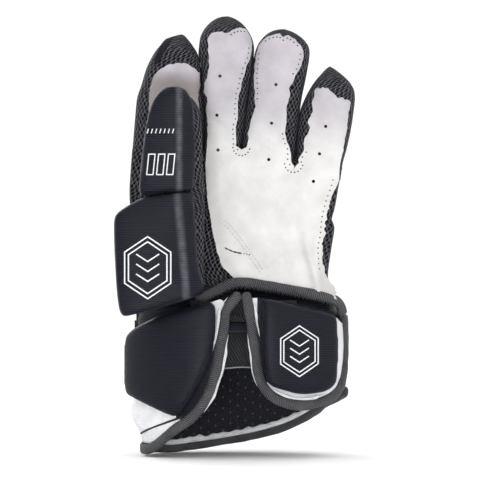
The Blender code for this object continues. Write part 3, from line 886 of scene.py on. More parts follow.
# Sides of the hand's sleeve as (along, across), and the path of the wrist tape as (X, Z)
HAND_LEFT = [(-78, -52.5), (-58, -56.0), (-36, -60.2), (-22, -61.8), (0, -62.2)]
HAND_RIGHT = [(-80, 63.6), (-76, 62.0), (-72, 59.0), (-67, 56.8), (-62, 56.2), (-54, 56.5), (-44, 57.2),
              (-36.4, 57.7), (-33, 56.6), (-31, 55.6), (-27, 56.4), (-22.9, 57.0), (-12, 57.9), (0, 59.2)]
WRIST_BINDING = [(-24.0, 1.4), (-18.0, 4.4), (-14.0, 6.4), (-8.0, 9.4), (-2.3, 11.2), (5.3, 11.0),
                 (14.0, 9.6), (24.3, 7.9), (34.0, 6.1), (43.3, 4.2), (51.0, 2.2), (55.4, 0.4), (57.8, -2.6),
                 (58.8, -6.4)]
# Stitch lines on the palm, as (X, Z) places
PALM_SEAM = [(-14.6, 47.8), (-8.0, 43.4), (-2.0, 36.4), (2.4, 30.6), (6.4, 24.6), (12.0, 16.5)]
PALM_TACK = [(-8.8, 31.2), (-4.0, 29.0), (1.0, 27.9)]
TACK_DASHES = [(2.0, 27.8), (6.6, 27.0)]


def on_palm(x, z, lift=0.0):
    across, along = hand_coordinates(x, z)
    return on_hand(across, along, palm_front(across, along) - lift)


def build_palm():
    count, columns = 56, 48
    top_left = hand_coordinates(-19.6, 82.0)[0]
    rows = []
    for i in range(count + 1):
        row = []
        for a in np.linspace(0, 1, columns + 1):
            top = on_hand(top_left + (57.7 - top_left) * a, PALM_TOP + 0.5, 0.0)
            z_low = smooth(PALM_BOTTOM, -2.4 + 58.0 * a) - 1.0
            z = z_low + (top[2] - z_low) * i / count
            left = smooth(PALM_LEFT, z) + crinkle(z, 1.0, 2.2, 0.5)
            right = smooth(PALM_RIGHT, z) + crinkle(z * 1.6, 2.0, 4.4, 1.3) * (1 - step(55, 72, z))
            x = left + (right - left) * a
            near_top = step(0.85, 1.0, i / count)
            row.append(on_palm(x * (1 - near_top) + top[0] * near_top, z))
        rows.append(row)
    palm = sheet_of("palm_leather_skin", rows, LEATHER, LEATHER_THICKNESS)
    finish_leather(palm, [(42.1, 69.2)])
    points = [on_palm(smooth(PALM_RIGHT, z) - 2.4, z) for z in range(70, 16, -3)]
    join(palm, stitch_dots("dots", points, [-OUT] * len(points)))
    finish(palm, "hand", ["palm_leather"])

    seam = []
    for shift in (0.0, 1.5):
        seam += stitch_run([on_palm(x + shift, z + shift, 0.12) for x, z in PALM_SEAM], 1.5, 0.7)
    tack = stitch_run([on_palm(x, z, 0.15) for x, z in PALM_TACK], 2.4, 0.02)
    dashes = stitch_run([on_palm(x, z, 0.15) for x, z in TACK_DASHES], 0.8, 0.9)
    seam = threads("palm_seam", seam, 0.22, PALE_THREAD)
    tack = threads("palm_tack", tack, 0.4, DARK_THREAD)
    join(tack, threads("tack_end", dashes, 0.3, DARK_THREAD))
    finish(seam, "hand")
    finish(tack, "hand")


def stitch_run(path, length, gap):
    """Short thread pieces, one after another, along a path of points."""
    run = curve_through(path, length + gap)
    return [(a, a + (b - a) * length / (length + gap)) for a, b in zip(run, run[1:])]


def threads(name, marks, radius, surface):
    """A row of thread pieces as one mesh of small rounded bars."""
    verts, faces, uvs = [], [], []
    for a, b in marks:
        side = unit(np.cross(unit(b - a), -OUT))
        first = len(verts)
        for share, scale in ((0.0, 0.3), (0.18, 1.0), (0.82, 1.0), (1.0, 0.3)):
            for k, (c, s) in enumerate(circle(6)):
                verts.append(a + (b - a) * share + (side * c - OUT * s) * radius * scale)
                uvs.append((share, k / 6))
        for ring in range(first, first + 18, 6):
            faces += [(ring + k, ring + (k + 1) % 6, ring + 6 + (k + 1) % 6, ring + 6 + k) for k in range(6)]
        faces += [tuple(range(first, first + 6)), tuple(range(first + 18, first + 24))]
    return make(name, verts, faces, surface, uvs)


def back_depth(across):
    return 27.5 - 5.0 * abs((across + 2.0) / 56.0) ** 3


def hand_ring(along, shrink=0.0, lift=0.0):
    """A closed section of the hand's mesh sleeve."""
    left, right = smooth(HAND_LEFT, along) + shrink, smooth(HAND_RIGHT, along) - shrink
    front = FRONT + 2.3 + lift
    back = np.linspace(left + 3.0, right - 3.0, 13)
    ring = [(across, back_depth(across) - shrink) for across in back]
    corner = [(0.12, 0.86), (0.0, 0.62), (-0.1, 0.36), (0.0, 0.12), (0.35, 0.0)]
    back_right, back_left = ring[-1][1], ring[0][1]
    ring += [(right - 2.4 * inset, front + (back_right - front) * rise) for inset, rise in corner]
    ring += [(across, front) for across in np.linspace(right - 4.0, left + 4.0, 17)[1:-1]]
    ring += [(left + 2.4 * inset, front + (back_left - front) * rise) for inset, rise in reversed(corner)]
    return [on_hand(across, along, out) for across, out in ring]


def build_hand():
    rows = [hand_ring(along) for along in np.linspace(-78.0, -1.0, 34)]
    rows += [hand_ring(1.0, 1.2, 1.0), hand_ring(2.2, 3.6, 3.0), hand_ring(2.6, 9.0, 8.0)]
    finish(sheet_of("hand_sleeve", rows, MESH, 1.2, True), "hand", ["hand_mesh"])
    build_palm()
    crotch_stitches()
    build_wrist()


def build_wrist():
    """The twill tape over the wrist seam, the stitches under it and the cloth down to the cuff."""
    path = [(x, KNUCKLE[1] - 8.6 + 8.0 * step(46.0, 59.0, x), z)
            for x, z in curve_through(WRIST_BINDING, 1.2)]
    binding = sweep("wrist_binding_tape", path, [-OUT] * len(path), 2.9, 2.3, TAPE, 0.12)
    finish(binding, "hand", ["wrist_binding"])
    lower = [(x, y - 1.2, z - 3.3) for x, y, z in path[6:-2]]
    finish(threads("wrist_stitches", stitch_run(lower, 1.5, 0.9), 0.5, DARK_THREAD), "hand")

    rows = []
    for share in np.linspace(0, 1, 19):
        puff = 1.6 * math.sin(math.pi * share) ** 2 * math.sin(3 * math.pi * share) ** 2
        row = []
        for turn in range(0, 360, 6):
            p = hand_point(-75.0, turn) * (1 - share) + round_cuff(-17.0, turn, -0.4) * share
            row.append(p + unit(np.array((p[0] / CUFF_WIDTH, (p[1] + 2.0) / CUFF_DEPTH, 0.0))) * puff)
        rows.append(row)
    cloth = sheet_of("wrist_gusset", rows, NYLON, 1.0, True)
    declare_cloth(rows, closed=True)
    finish(cloth, None)
    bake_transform(cloth)


def hand_point(along, turn):
    """Where a ray from the hand's middle at an angle meets its lower section."""
    left, right = smooth(HAND_LEFT, along) + 1.6, smooth(HAND_RIGHT, along) - 1.6
    front, back = FRONT + 2.4, back_depth(0) - 2.0
    c, s = math.cos(math.radians(turn)), math.sin(math.radians(turn))
    across = (left + right) / 2 + (right - left) / 2 * power(c, 0.55)
    return on_hand(across, along, (front + back) / 2 + (back - front) / 2 * power(s, 0.55))


# ---------------------------------------------------------------- pads

PADS = []
SWELL_FRAMES = 20


def add_pad(name, body, place, rows, base, height, edge, ends, columns, count, voxel, cap, fill,
            profile=lambda a, b: 1.0, surface=NYLON):
    """Queue a padded block for swell(). rows are (position, left, right), and profile shapes its
    top across (a) and along (b). edge and ends say how square its rims are."""
    lefts = [(row[0], row[1]) for row in rows]
    rights = [(row[0], row[2]) for row in rows]
    top, bottom = [], []
    for i in range(count + 1):
        b = (1 - math.cos(math.pi * i / count)) / 2
        position = rows[0][0] + (rows[-1][0] - rows[0][0]) * b
        left, right = smooth(lefts, position), smooth(rights, position)
        for j in range(columns + 1):
            a = (1 - math.cos(math.pi * j / columns)) / 2
            rim = (1 - abs(2 * a - 1) ** edge) ** (1 / edge) * (1 - abs(2 * b - 1) ** ends) ** (1 / ends)
            across = left + (right - left) * a
            top.append(place(across, position, base + height * rim * profile(a, b)))
            bottom.append(place(across, position, base))
    faces = grid_faces(count + 1, columns + 1)
    faces += [tuple(len(top) + k for k in face) for face in faces]
    made = make(name + "_skin", top + bottom, faces, surface)
    weld(made)
    nodes = [name] if "flap" in name else [name + "_cover", name + "_foam"]
    PADS.append({"piece": made, "body": body, "nodes": nodes, "voxel": voxel, "cap": cap, "fill": fill})


def blow_up():
    """Simulate every pad's skin as cloth under pressure, and keep up to its cap of the swelling."""
    starts = []
    for pad in PADS:
        cloth = pad["piece"].modifiers.new("cloth", "CLOTH")
        settings = cloth.settings
        settings.use_pressure = True
        settings.uniform_pressure_force = 4.0
        settings.effector_weights.gravity = 0.0
        settings.quality = 5
        settings.mass = 0.15
        settings.tension_stiffness = 25.0
        settings.compression_stiffness = 25.0
        settings.bending_stiffness = 1.5
        cloth.collision_settings.use_collision = False
        cloth.collision_settings.use_self_collision = False
        cloth.point_cache.frame_start = 1
        cloth.point_cache.frame_end = SWELL_FRAMES
        starts.append([v.co.copy() for v in pad["piece"].data.vertices])
    for number in range(1, SWELL_FRAMES + 1):
        bpy.context.scene.frame_set(number)
    graph = bpy.context.evaluated_depsgraph_get()
    moved = [[v.co.copy() for v in pad["piece"].evaluated_get(graph).data.vertices] for pad in PADS]
    for pad, before, after in zip(PADS, starts, moved):
        pad["piece"].modifiers.clear()
        cap = pad["cap"] * MM
        for vertex, start, end in zip(pad["piece"].data.vertices, before, after):
            shift = end - start
            vertex.co = start + shift * min(1.0, cap / max(shift.length, 1e-9))
    bpy.context.scene.frame_set(1)


def swell():
    for pad in PADS:
        voxels = pad["piece"].modifiers.new("voxels", "REMESH")
        voxels.mode = "VOXEL"
        voxels.voxel_size = pad["voxel"] * MM
        voxels.use_smooth_shade = True
        freeze(pad["piece"])
        relax(pad["piece"], 3)
    blow_up()
    for pad in PADS:
        piece = pad["piece"]
        relax(piece, 2)
        smoother = piece.modifiers.new("finish", "SUBSURF")
        smoother.levels = smoother.render_levels = 1
        piece.data.shade_smooth()
        finish(piece, pad["body"], pad["nodes"])


def ridge(at_low, at_high, low_left, low_right, tip=1.0):
    """Two facets that meet in a soft ridge, whose place across the pad drifts along it."""
    def shape(a, b):
        crest = at_low + (at_high - at_low) * b
        if a < crest:
            rise = low_left + (1 - low_left) * a / crest
        else:
            rise = low_right + (1 - low_right) * (1 - a) / (1 - crest)
        return (rise - 0.05 * bump(a, crest, 0.06)) * (1 - (1 - tip) * b * b)
    return shape


def on_roll(along, across, out):
    return on_hand(across, along, back_depth(across) + out)


def finger_pads():
    """Two blocks on the back of each finger; the index's upper one leaves room at the middle finger."""
    for finger in FINGERS:
        for part, low, high in (("base", 0.8, finger.middle - 0.8),
                                ("tip", finger.middle + 0.8, finger.tip - 3.5)):
            rows = []
            for along in np.linspace(low, high, 7):
                right = smooth(finger.right, along)
                if finger.name == "index" and part == "tip":
                    right = min(right, -28.4)
                rows.append((along, smooth(finger.left, along) + 2.0, right - 2.0))
            fall = 0.35 if part == "tip" else 0.0
            body = f"{finger.name}_{part}"
            add_pad(body + "_pad", body, on_hand, rows, 16.6, 12.6, 3.2, 4.5, 22, 24, 1.8, 0.8, 0.8,
                    lambda a, b, fall=fall: 1.0 - fall * step(0.55, 1.0, b))


def hand_rolls():
    for number, (low, high) in enumerate([(-24.2, -3.6), (-47.0, -26.0), (-71.2, -48.8)], 1):
        rows = [(across, low + inset, high - inset) for across, inset in
                ((-55.5, 3.2), (-50, 0.8), (-40, 0.0), (0, 0.0), (38, 0.0), (47, 0.8), (51.5, 3.2))]
        add_pad(f"back_roll_{number}", "hand", on_roll, rows, 0.4, 15.4, 2.6, 7.0, 20, 60, 2.4, 1.2, 0.75)


def thumb_base_point(across, along, out):
    slope = 0.28 - 0.0027 * along
    return np.array((across, -out, along + slope * (across + 44.0)))


def thumb_tip_point(across, along, out):
    return np.array((across, -out - 0.12 * (along - 62.0), along + 0.1 * (across + 40.0)))


# Outlines of the thumb's pads as (along, left, right)
THUMB_BASE_PAD = [(-1.8, -66.4, -20.0), (3.0, -68.4, -20.4), (12, -69.6, -22.6), (26.0, -70.4, -24.4),
                  (40.0, -71.2, -25.2), (50.0, -71.4, -25.6), (53.0, -70.8, -25.8), (57.0, -64.6, -26.0),
                  (60.0, -57.4, -26.4), (61.4, -53.0, -27.0)]
THUMB_TIP_PAD = [(62.4, -57.4, -26.0), (70, -56.8, -25.6), (83.0, -55.2, -25.4), (98.0, -53.6, -25.6),
                 (108.0, -51.6, -26.4), (113.0, -50.0, -27.2), (117.0, -47.8, -28.8),
                 (120.0, -45.2, -31.0), (122.0, -42.4, -34.4)]


def thumb_pads():
    add_pad("thumb_base_pad", "thumb_base", thumb_base_point, THUMB_BASE_PAD, 37.6, 17.4, 12.0, 20.0, 44, 60,
            1.7, 0.7, 0.85, ridge(0.80, 0.80, 0.84, 0.50), NYLON_BASE)
    add_pad("thumb_tip_pad", "thumb_tip", thumb_tip_point, THUMB_TIP_PAD, 39.4, 15.6, 10.0, 14.0, 40, 60,
            1.6, 0.7, 0.85, ridge(0.70, 0.60, 0.78, 0.36, 0.85), NYLON_TIP)


# Outlines on the cuff as (X, low, high), and the rim of its back as (angle, height)
CUFF_RIM = [(2, -52.0), (20, -55.5), (36, -60.0), (45, -65.4), (66, -74.5), (85, -79.7), (113, -84.3),
            (135, -86.0), (157, -85.2), (178, -84.2)]
THUMB_FLAP_PAD = [(-58.6, -53.6, -20.0), (-56.0, -55.2, -15.5), (-50.0, -58.6, -11.0),
                  (-40.3, -63.4, -6.0), (-35.0, -65.2, -4.2), (-31.0, -61.4, -3.2), (-27.0, -55.6, -2.2),
                  (-20.6, -43.6, -0.6), (-17.0, -34.6, 0.2), (-14.6, -25.6, 0.2), (-13.0, -16.0, -1.8)]
PINKY_FLAP_PAD = [(12.0, -26.0, 1.2), (13.8, -43.0, 1.9), (16.4, -47.2, 1.8), (24.0, -50.2, 0.2),
                  (33.8, -52.6, -2.4), (44.0, -51.4, -5.0), (48.6, -48.8, -6.6), (50.8, -44.0, -8.6)]


def cuff_pads():
    """These run round the cuff, so a row's place is an angle and its sides are heights."""
    rows = [(front_angle(x), low, high) for x, low, high in THUMB_FLAP_PAD]
    add_pad("thumb_flap_pad", "thumb_flap", round_cuff, rows, 1.6, 8.6, 7.0, 9.0, 34, 44, 1.8, 0.8, 0.8,
            lambda a, b: 1.0 - 0.16 * bump(b, 1.0, 0.16))
    rows = [(front_angle(x), low, high) for x, low, high in PINKY_FLAP_PAD]
    add_pad("pinky_flap_pad", "pinky_flap", round_cuff, rows, 1.6, 8.6, 8.0, 8.0, 34, 40, 1.7, 0.7, 0.8)
    rows = [(angle, smooth(CUFF_RIM, angle) + 4.6, -12.0) for angle in range(18, 170, 12)]
    add_pad("cuff_back_pad", "cuff", round_cuff, rows, 1.6, 11.6, 4.5, 7.0, 30, 70, 2.6, 1.4, 0.75,
            lambda a, b: 0.4 + 0.6 * math.sin(math.pi * b))


# ---------------------------------------------------------------- thumb

# Outline of the thumb's sleeve as (along, side)
THUMB_LEFT = [(-2, -64.0), (24, -67.4), (46, -67.0), (58, -60.0), (66, -56.4), (97, -53.4), (110, -50.2),
              (116, -47.0), (120, -42.6), (121.4, -38.4)]
THUMB_RIGHT = [(-2, -20.6), (24, -20.6), (46, -20.2), (58, -20.2), (66, -20.4), (76, -21.2),
               (97, -21.8), (108, -23.2), (114, -26.6), (118.5, -32.0), (121.4, -38.2)]
WEB_RADII = (19.0, 25.0)


def build_thumb():
    """Mesh sleeve of the whole thumb, its leather on the side that faces the index finger."""
    rows = []
    for along in [*np.linspace(-1.0, 104.0, 54), *np.linspace(106.0, 121.4, 14)]:
        share = step(56.0, 68.0, along)
        fall = math.sqrt(max(0.002, 1 - max(0.0, (along - 104.0) / 17.5) ** 2.2))
        front, back = 38.2 + 1.2 * share, 22.0 + 2.6 * share
        left, right = smooth(THUMB_LEFT, along), smooth(THUMB_RIGHT, along)
        row = []
        for c, s in circle(40, 2 / SQUARENESS, math.pi / 2):
            place = ((left + right) / 2 + (right - left) / 2 * c, along,
                     (front + back) / 2 + (front - back) / 2 * fall * s)
            row.append(thumb_base_point(*place) * (1 - share) + thumb_tip_point(*place) * share)
        rows.append(row)
    sleeve = sheet_of("thumb_sleeve", rows, MESH, 0.0, True)
    fill_ends(sleeve)
    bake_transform(sleeve)
    finish(sleeve, None, ["thumb_base_mesh", "thumb_tip_mesh", "thumb_shield"])

    rows = []
    for along in np.linspace(67.0, 116.0, 31):
        left, right = smooth(THUMB_LEFT, along) + 4.0, smooth(THUMB_RIGHT, along) - 3.4
        rows.append([thumb_tip_point(left + (right - left) * a, along,
                                     23.8 + 1.6 * abs(2 * a - 1) ** 3 + 2.2 * step(104, 116, along))
                     for a in np.linspace(0, 1, 17)])
    leather = sheet_of("thumb_leather", rows, LEATHER, LEATHER_THICKNESS)
    finish_leather(leather, [])
    finish(leather, "thumb_tip", ["thumb_tip_leather"])

    rows = [[np.array((-42.0 + WEB_RADII[0] * c, y, 31.0 + WEB_RADII[1] * s)) for c, s in circle(40)]
            for y in np.linspace(-17.0, -25.5, 9)]
    web = sheet_of("thumb_web", rows, MESH, 1.0, True)
    finish(web, None)
    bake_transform(web)


# ---------------------------------------------------------------- cuff

# Outlines of the flaps' cloth as (X, low, high), and the paths of their bindings as (X, Z)
THUMB_FLAP_CLOTH = [(-59.6, -81.6, -22.0), (-54.0, -81.2, -16.0), (-46.0, -76.6, -10.0),
                    (-42.0, -74.4, -7.6), (-34.0, -69.4, -4.0), (-27.0, -64.0, -2.0), (-22.0, -56.4, -1.0),
                    (-18.0, -47.0, -0.4), (-15.6, -37.0, 0.4), (-13.4, -28.0, 1.2), (-11.4, -16.0, 1.8),
                    (-9.0, -9.0, 0.4)]
PINKY_FLAP_CLOTH = [(7.0, -18.0, 2.6), (9.2, -31.0, 2.6), (11.0, -42.0, 2.6), (15.2, -49.4, 2.2),
                    (22.4, -54.6, 0.8), (33.8, -57.6, -1.4), (46.2, -55.8, -3.6), (51.0, -53.6, -5.2),
                    (54.4, -51.2, -8.6), (57.6, -43.0, -12.0), (59.0, -30.0, -13.0)]
THUMB_FLAP_BINDING = [(-1.0, 4.4), (-3.6, 1.2), (-6.4, -2.2), (-8.2, -6.0), (-9.0, -13.9), (-11.2, -25.2),
                      (-14.0, -40.5), (-19.3, -54.8), (-27.0, -65.3), (-36.5, -72.2), (-46.0, -78.6),
                      (-53.0, -83.0), (-57.0, -84.8), (-59.6, -85.2)]
PINKY_FLAP_BINDING = [(3.2, 4.6), (4.0, 1.6), (5.3, -5.3), (7.2, -17.7), (9.1, -29.1), (10.4, -40.5),
                      (14.8, -50.1), (22.4, -55.8), (33.8, -58.7), (46.2, -56.9), (54.4, -52.4),
                      (58.4, -43.0), (59.6, -26.3), (59.0, -8.5)]
THUMB_FLAP_LINE = [(-58.6, -76.0), (-54.5, -73.8), (-46.0, -70.4), (-39.0, -67.8), (-32.5, -65.4)]
TONGUE_FOLD = [(-20, -9.4), (-6, -9.2), (8, -9.4), (22, -9.8)]


def white_shows(side, x, z):
    """Where a flap's cloth is white knit. The rest of it is navy nylon."""
    if side == "thumb":
        return (x < -36.5 and z < -48.0) or (x < -31.0 and z < -66.5) or (x > -17.0 and z > -23.0)
    return z < -46.0 or (x > 54.0 and z < -9.5) or (x < 9.6 and z > -15.0)


def up_cuff(angle, low, high, count, out):
    """Points up the cuff at one angle. out(height, share) is the distance off its oval."""
    heights = [(low + (high - low) * k / count, k / count) for k in range(count + 1)]
    return [round_cuff(height, angle, out(height, share)) for height, share in heights]


def cloth_panel(table, out):
    """Rows of a flap's cloth. It bulges low on the thumb's side."""
    lows = [(x, low) for x, low, _ in table]
    highs = [(x, high) for x, _, high in table]
    rows = []
    for angle in np.linspace(front_angle(table[0][0]), front_angle(table[-1][0]), 111):
        x = CUFF_WIDTH * math.cos(math.radians(angle))
        puff = 2.6 * (1.0 - step(-52.0, -36.0, x))
        rows.append(up_cuff(angle, smooth(lows, x), smooth(highs, x), 36,
                            lambda z, share, puff=puff: out + puff * bump(z, -63.0, 8.0)))
    return rows


def cuff_path(places, spacing, out):
    """Points and normals of a smooth path on the cuff's oval, from (angle, height) places."""
    flat = curve_through(places, spacing)
    path = [round_cuff(z, angle, out) for angle, z in flat]
    return path, [round_cuff(z, angle, out + 1.0) - p for (angle, z), p in zip(flat, path)]


def front_path(places, spacing, out):
    """The same from (X, height) places on the cuff's front."""
    return cuff_path([(front_angle(x), z) for x, z in places], spacing, out)


def two_tone(piece, is_white):
    """White knit where is_white(X, Z) says so, and navy nylon elsewhere."""
    piece.data.materials.append(NYLON)
    for face in piece.data.polygons:
        face.material_index = 0 if is_white(face.center.x / MM, face.center.z / MM) else 1


def build_flap(side, cloth_table, binding):
    """A flap's cloth, lining and binding. It returns the binding's path and normals."""
    body = side + "_flap"
    panel = cloth_panel(cloth_table, 0.9)
    cloth = sheet_of(body + "_knit", panel, KNIT, 1.4)
    declare_cloth(panel)
    two_tone(cloth, lambda x, z: white_shows(side, x, z))
    finish(cloth, body, [body + "_cloth"])
    finish(sheet_of(body + "_lining", cloth_panel(cloth_table, -1.3), LINING, 0.7), body)
    path, normals = front_path(binding, 1.3, 0.9)
    tape = sweep(body + "_binding_tape", path, normals, 2.9, 2.4, TAPE, 0.14)
    finish(tape, body, [body + "_binding"])
    return path, normals


def white_edge(body, place, path, normals, shift, first, last, width, lift):
    """A sliver of white lining that shows beside a binding, between two points of its path."""
    moved = []
    for i in range(first, last):
        ahead = unit(path[i + 1] - path[i - 1])
        moved.append(path[i] + np.cross(ahead, normals[i]) * shift + unit(normals[i]) * lift)
    trim = sweep(f"{body}_edge_{place}", moved, normals[first:last], width, 0.7, TRIM, 0.9, 10, 7)
    finish(trim, body)


def declare_cloth(rows, closed=False):
    """Work out a stretched cloth's flat size: its length round, its height and its cut's area. Nothing keeps
    the result.
    """
    points = np.array(rows)
    if closed:
        points = np.concatenate((points, points[:, :1]), axis=1)
    down = np.linalg.norm(np.diff(points, axis=0), axis=2)
    along = np.linalg.norm(np.diff(points, axis=1), axis=2)
    diagonals = np.cross(points[1:, :-1] - points[:-1, 1:], points[1:, 1:] - points[:-1, :-1])
    area = float(np.linalg.norm(diagonals, axis=2).sum() / 2)
    width, length = float(along.sum(axis=1).max()), float(down.sum(axis=0).max())
    area = min(area, width * length)


def ragged_trim(angle, low):
    """Inside the back's rim: the crinkled white edge of the lining."""
    top = low + 3.4 + 0.9 * noise.noise(Vector((angle * 0.16, 0, 9.0))) + 0.35 * math.sin(angle * 0.9)

    def out(height, share):
        crease = 0.35 * noise.noise(Vector((angle * 0.5, share * 3.0, 2.0)))
        return -2.2 - 0.7 * math.sin(math.pi * share) - crease

    return up_cuff(angle, low, top, 5, out)


def tongue_hem(x):
    return -37.6 + 0.6 * math.sin((x + 8) * 0.16)


def build_cuff():
    rows = [up_cuff(angle, smooth(CUFF_RIM, angle) + 1.5, -11.0, 16, lambda z, share: 1.2)
            for angle in np.linspace(3, 177, 61)]
    back = sheet_of("cuff_back_knit", rows, KNIT, 1.3)
    declare_cloth(rows)
    two_tone(back, lambda x, z: z < -50.0)
    finish(back, "cuff", ["cuff_back_cloth"])

    rows = [up_cuff(angle, smooth(CUFF_RIM, min(max(angle, 3), 177)) + 3.0, -6.0, 24, lambda z, share: -0.8)
            for angle in np.linspace(-8, 188, 73)]
    lining = sheet_of("cuff_lining", rows, LINING, 0.9, offset=1.0)
    declare_cloth(rows)
    finish(lining, "cuff")

    path, normals = cuff_path(CUFF_RIM, 1.6, 0.4)
    rim = sweep("cuff_rim_tape", path, normals, 3.0, 2.6, TAPE, 0.12)
    finish(rim, "cuff", ["cuff_back_binding"])

    rows = [ragged_trim(angle, smooth(CUFF_RIM, angle) + 1.6) for angle in np.linspace(14, 172, 121)]
    finish(sheet_of("cuff_inner_trim", rows, TRIM, 0.7, offset=1.0), "cuff")

    def hollow(height, share):
        return -3.6 - 0.5 * math.sin(math.pi * share)

    rows = [up_cuff(front_angle(x), tongue_hem(x), 1.0, 20, hollow) for x in np.linspace(-30, 34, 41)]
    finish(sheet_of("slit_tongue", rows, ELASTIC, 1.0), "cuff", ["slit_elastic"])
    path, normals = front_path([(x, tongue_hem(x) + 0.1) for x in range(-20, 21, 10)], 1.5, -3.4)
    finish(sweep("tongue_hem", path, normals, 0.4, 0.5, GREY_THREAD, 0.2, 8), "cuff")
    path, normals = front_path(TONGUE_FOLD, 1.5, -2.9)
    finish(sweep("tongue_fold", path, normals, 2.0, 0.8, ELASTIC, 0.1, 10), "cuff")

    path, normals = build_flap("thumb", THUMB_FLAP_CLOTH, THUMB_FLAP_BINDING)
    count = len(path)
    white_edge("thumb_flap", "outer", path, normals, 3.6, 4, int(count * 0.27), 1.1, 0.6)
    white_edge("thumb_flap", "inner", path, normals, -3.1, int(count * 0.18), int(count * 0.52), 0.9, -1.4)
    path, normals = front_path(THUMB_FLAP_LINE, 1.4, 1.5)
    line = sweep("thumb_flap_line", path, normals, 0.6, 0.5, DARK_THREAD, 0.1, 8)
    finish(line, "thumb_flap")

    path, normals = build_flap("pinky", PINKY_FLAP_CLOTH, PINKY_FLAP_BINDING)
    count = len(path)
    white_edge("pinky_flap", "outer", path, normals, -3.5, 3, int(count * 0.16), 1.0, 0.6)
    white_edge("pinky_flap", "inner", path, normals, 3.0, int(count * 0.14), int(count * 0.33), 0.6, -1.4)
    white_edge("pinky_flap", "low", path, normals, -3.6, int(count * 0.36), int(count * 0.62), 1.1, 0.9)


# ---------------------------------------------------------------- printed marks

def surface_tree(piece):
    """The pad's finished surface, to lay ink on."""
    bpy.context.view_layer.update()
    evaluated = piece.evaluated_get(bpy.context.evaluated_depsgraph_get())
    mesh = evaluated.to_mesh()
    points = [v.co.copy() for v in mesh.vertices]
    faces = [tuple(p.vertices) for p in mesh.polygons]
    evaluated.to_mesh_clear()
    return BVHTree.FromPolygons(points, faces)


def sideways(vector):
    return unit(np.array((-vector[1], vector[0])))


def printed(name, strokes, pad, width):
    """Ribbons of ink along (X, Z) strokes, laid on the front of a pad."""
    pad = [queued for queued in PADS if queued["piece"].name == pad + "_skin"][0]
    tree = surface_tree(pad["piece"])
    verts, faces = [], []
    for stroke in strokes:
        line = []
        for a, b in zip(stroke, stroke[1:]):
            a, b = np.array(a, float), np.array(b, float)
            count = max(1, int(np.linalg.norm(b - a)))
            line += [a + (b - a) * k / count for k in range(count)]
        line.append(np.array(stroke[-1], float))
        closed = np.allclose(line[0], line[-1])
        before = [line[-2] if closed else 2 * line[0] - line[1], *line]
        after = [*line[1:], line[1] if closed else 2 * line[-1] - line[-2]]
        first = len(verts)
        for p, previous, following in zip(line, before, after):
            turn_in = sideways(p - previous)
            mitre = unit(turn_in + sideways(following - p))
            reach = width / 2 / max(0.4, float(mitre @ turn_in))
            for sign in (-1, 1):
                x, z = p + mitre * reach * sign
                hit = tree.ray_cast(Vector((x * MM, -0.3, z * MM)), Vector((0, 1, 0)))[0]
                verts.append(np.array((x, (hit.y / MM if hit else -50.0) - 0.22, z)))
        faces += [(k, k + 1, k + 3, k + 2) for k in range(first, len(verts) - 2, 2)]
    made = make(name, verts, faces, INK)
    thicken(made, 0.3)
    finish(made, pad["body"])


def emblem(centre, radii, size, gap, drop):
    """A double hexagon round three chevrons."""
    strokes = []
    for radius in radii:
        strokes.append([(centre[0] + radius * 0.86 * c, centre[1] + radius * s)
                        for c, s in [*circle(6, 1.0, math.pi / 2), (0.0, 1.0)]])
    for k in (-1, 0, 1):
        z = centre[1] - drop + gap * k
        strokes.append([(centre[0] - size, z + size * 0.55), (centre[0], z - size * 0.1),
                        (centre[0] + size, z + size * 0.55)])
    return strokes


def build_marks():
    printed("thumb_base_mark", emblem((-52.0, 20.0), (17.5, 14.6), 6.5, 5.6, 1.5), "thumb_base_pad", 0.75)
    printed("pinky_flap_mark", emblem((33.8, -27.5), (14.4, 12.0), 5.4, 4.6, 1.2), "pinky_flap_pad", 0.65)
    bars = [[(x, 72.4), (x + 3.6, 72.4), (x + 4.8, 83.9), (x + 1.2, 83.9), (x, 72.4)]
            for x in (-52.6, -47.0, -41.4)]
    printed("thumb_tip_mark", bars, "thumb_tip_pad", 0.6)
    ticks = [[(-52.4 + 2.4 * k, 95.6), (-51.6 + 2.4 * k, 98.2)] for k in range(7)]
    printed("thumb_tip_ticks", ticks, "thumb_tip_pad", 0.55)


# ---------------------------------------------------------------- stage, light and camera

def build_stage():
    """A round paper floor that curves up into a wall."""
    floor_height = cad_low.z / MM - 0.6
    profile = [(0.0, 0.0), (1500.0, 0.0), (2600.0, 0.0)]
    for k in range(1, 11):
        turn = math.pi / 2 * k / 10
        profile.append((2600.0 + 900 * math.sin(turn), 900 - 900 * math.cos(turn)))
    profile.append((3500.0, 3600.0))
    rows = [[np.array((radius * c, radius * s, floor_height + height)) for c, s in circle(72)]
            for radius, height in profile]
    paper = plain_surface("floor_paper", (0.95, 0.95, 0.95), 0.9)
    sheet_of("floor", rows, paper, 0.0, True)


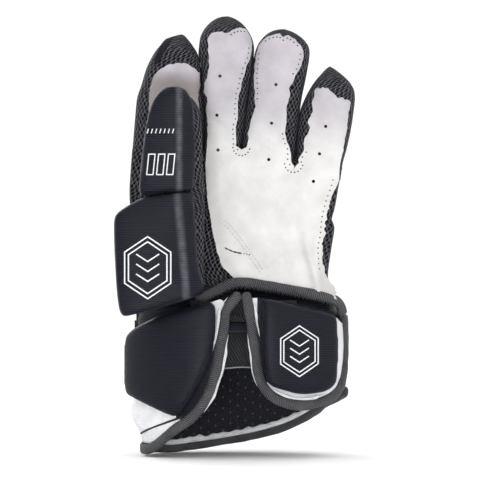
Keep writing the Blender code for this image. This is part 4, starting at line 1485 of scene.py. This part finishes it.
def area_light(name, place, target, size, power_watts):
    data = bpy.data.lights.new(name, "AREA")
    data.shape = "RECTANGLE"
    data.size, data.size_y = size
    data.energy = power_watts
    light = bpy.data.objects.new(name, data)
    light.location = place
    light.rotation_mode = "QUATERNION"
    light.rotation_quaternion = (Vector(target) - Vector(place)).to_track_quat("-Z", "Y")
    light.visible_camera = False
    bpy.context.scene.collection.objects.link(light)


def build_lights():
    """Places in metres. The ceiling does most of the work, and the others lift the glove's sides."""
    world = bpy.data.worlds.new("studio")
    world.use_nodes = True
    world.node_tree.nodes["Background"].inputs["Color"].default_value = (1.0, 1.0, 1.0, 1.0)
    world.node_tree.nodes["Background"].inputs["Strength"].default_value = 0.2
    bpy.context.scene.world = world
    middle = (0.0, 0.0, 0.03)
    area_light("front_low", (-0.04, -0.62, -0.06), middle, (0.22, 0.05), 1.1)
    area_light("front_high", (-0.5, -1.5, 1.1), middle, (1.2, 0.9), 0.8)
    area_light("right_side", (1.1, -1.1, 0.1), middle, (0.1, 0.8), 2.6)
    area_light("back", (-0.9, 1.5, 0.9), middle, (0.9, 0.9), 9.0)
    area_light("ceiling", (0.0, 0.0, 3.3), (0.0, 0.0, 0.0), (5.0, 5.0), 124.0)


def build_camera():
    """Square on to the palm. Half the frame is 137.6 mm wide at the palm's depth."""
    lens, half_frame, palm_depth = 250.0, 137.6, -20.0
    data = bpy.data.cameras.new("camera")
    data.sensor_width = 36.0
    data.lens = lens
    data.clip_end = 20.0
    distance = half_frame / (18.0 / lens)
    camera = bpy.data.objects.new("camera", data)
    camera.location = (0.0, (palm_depth - distance) * MM, 35.6 * MM)
    camera.rotation_euler = (math.pi / 2, 0.0, 0.0)
    bpy.context.scene.collection.objects.link(camera)
    bpy.context.scene.camera = camera


# ---------------------------------------------------------------- assembly

for each_finger in FINGERS:
    build_finger(each_finger)
build_hand()
build_thumb()
build_cuff()
finger_pads()
hand_rolls()
thumb_pads()
cuff_pads()
swell()
build_marks()
build_stage()
build_lights()
build_camera()
bpy.context.scene.view_settings.view_transform = "Standard"
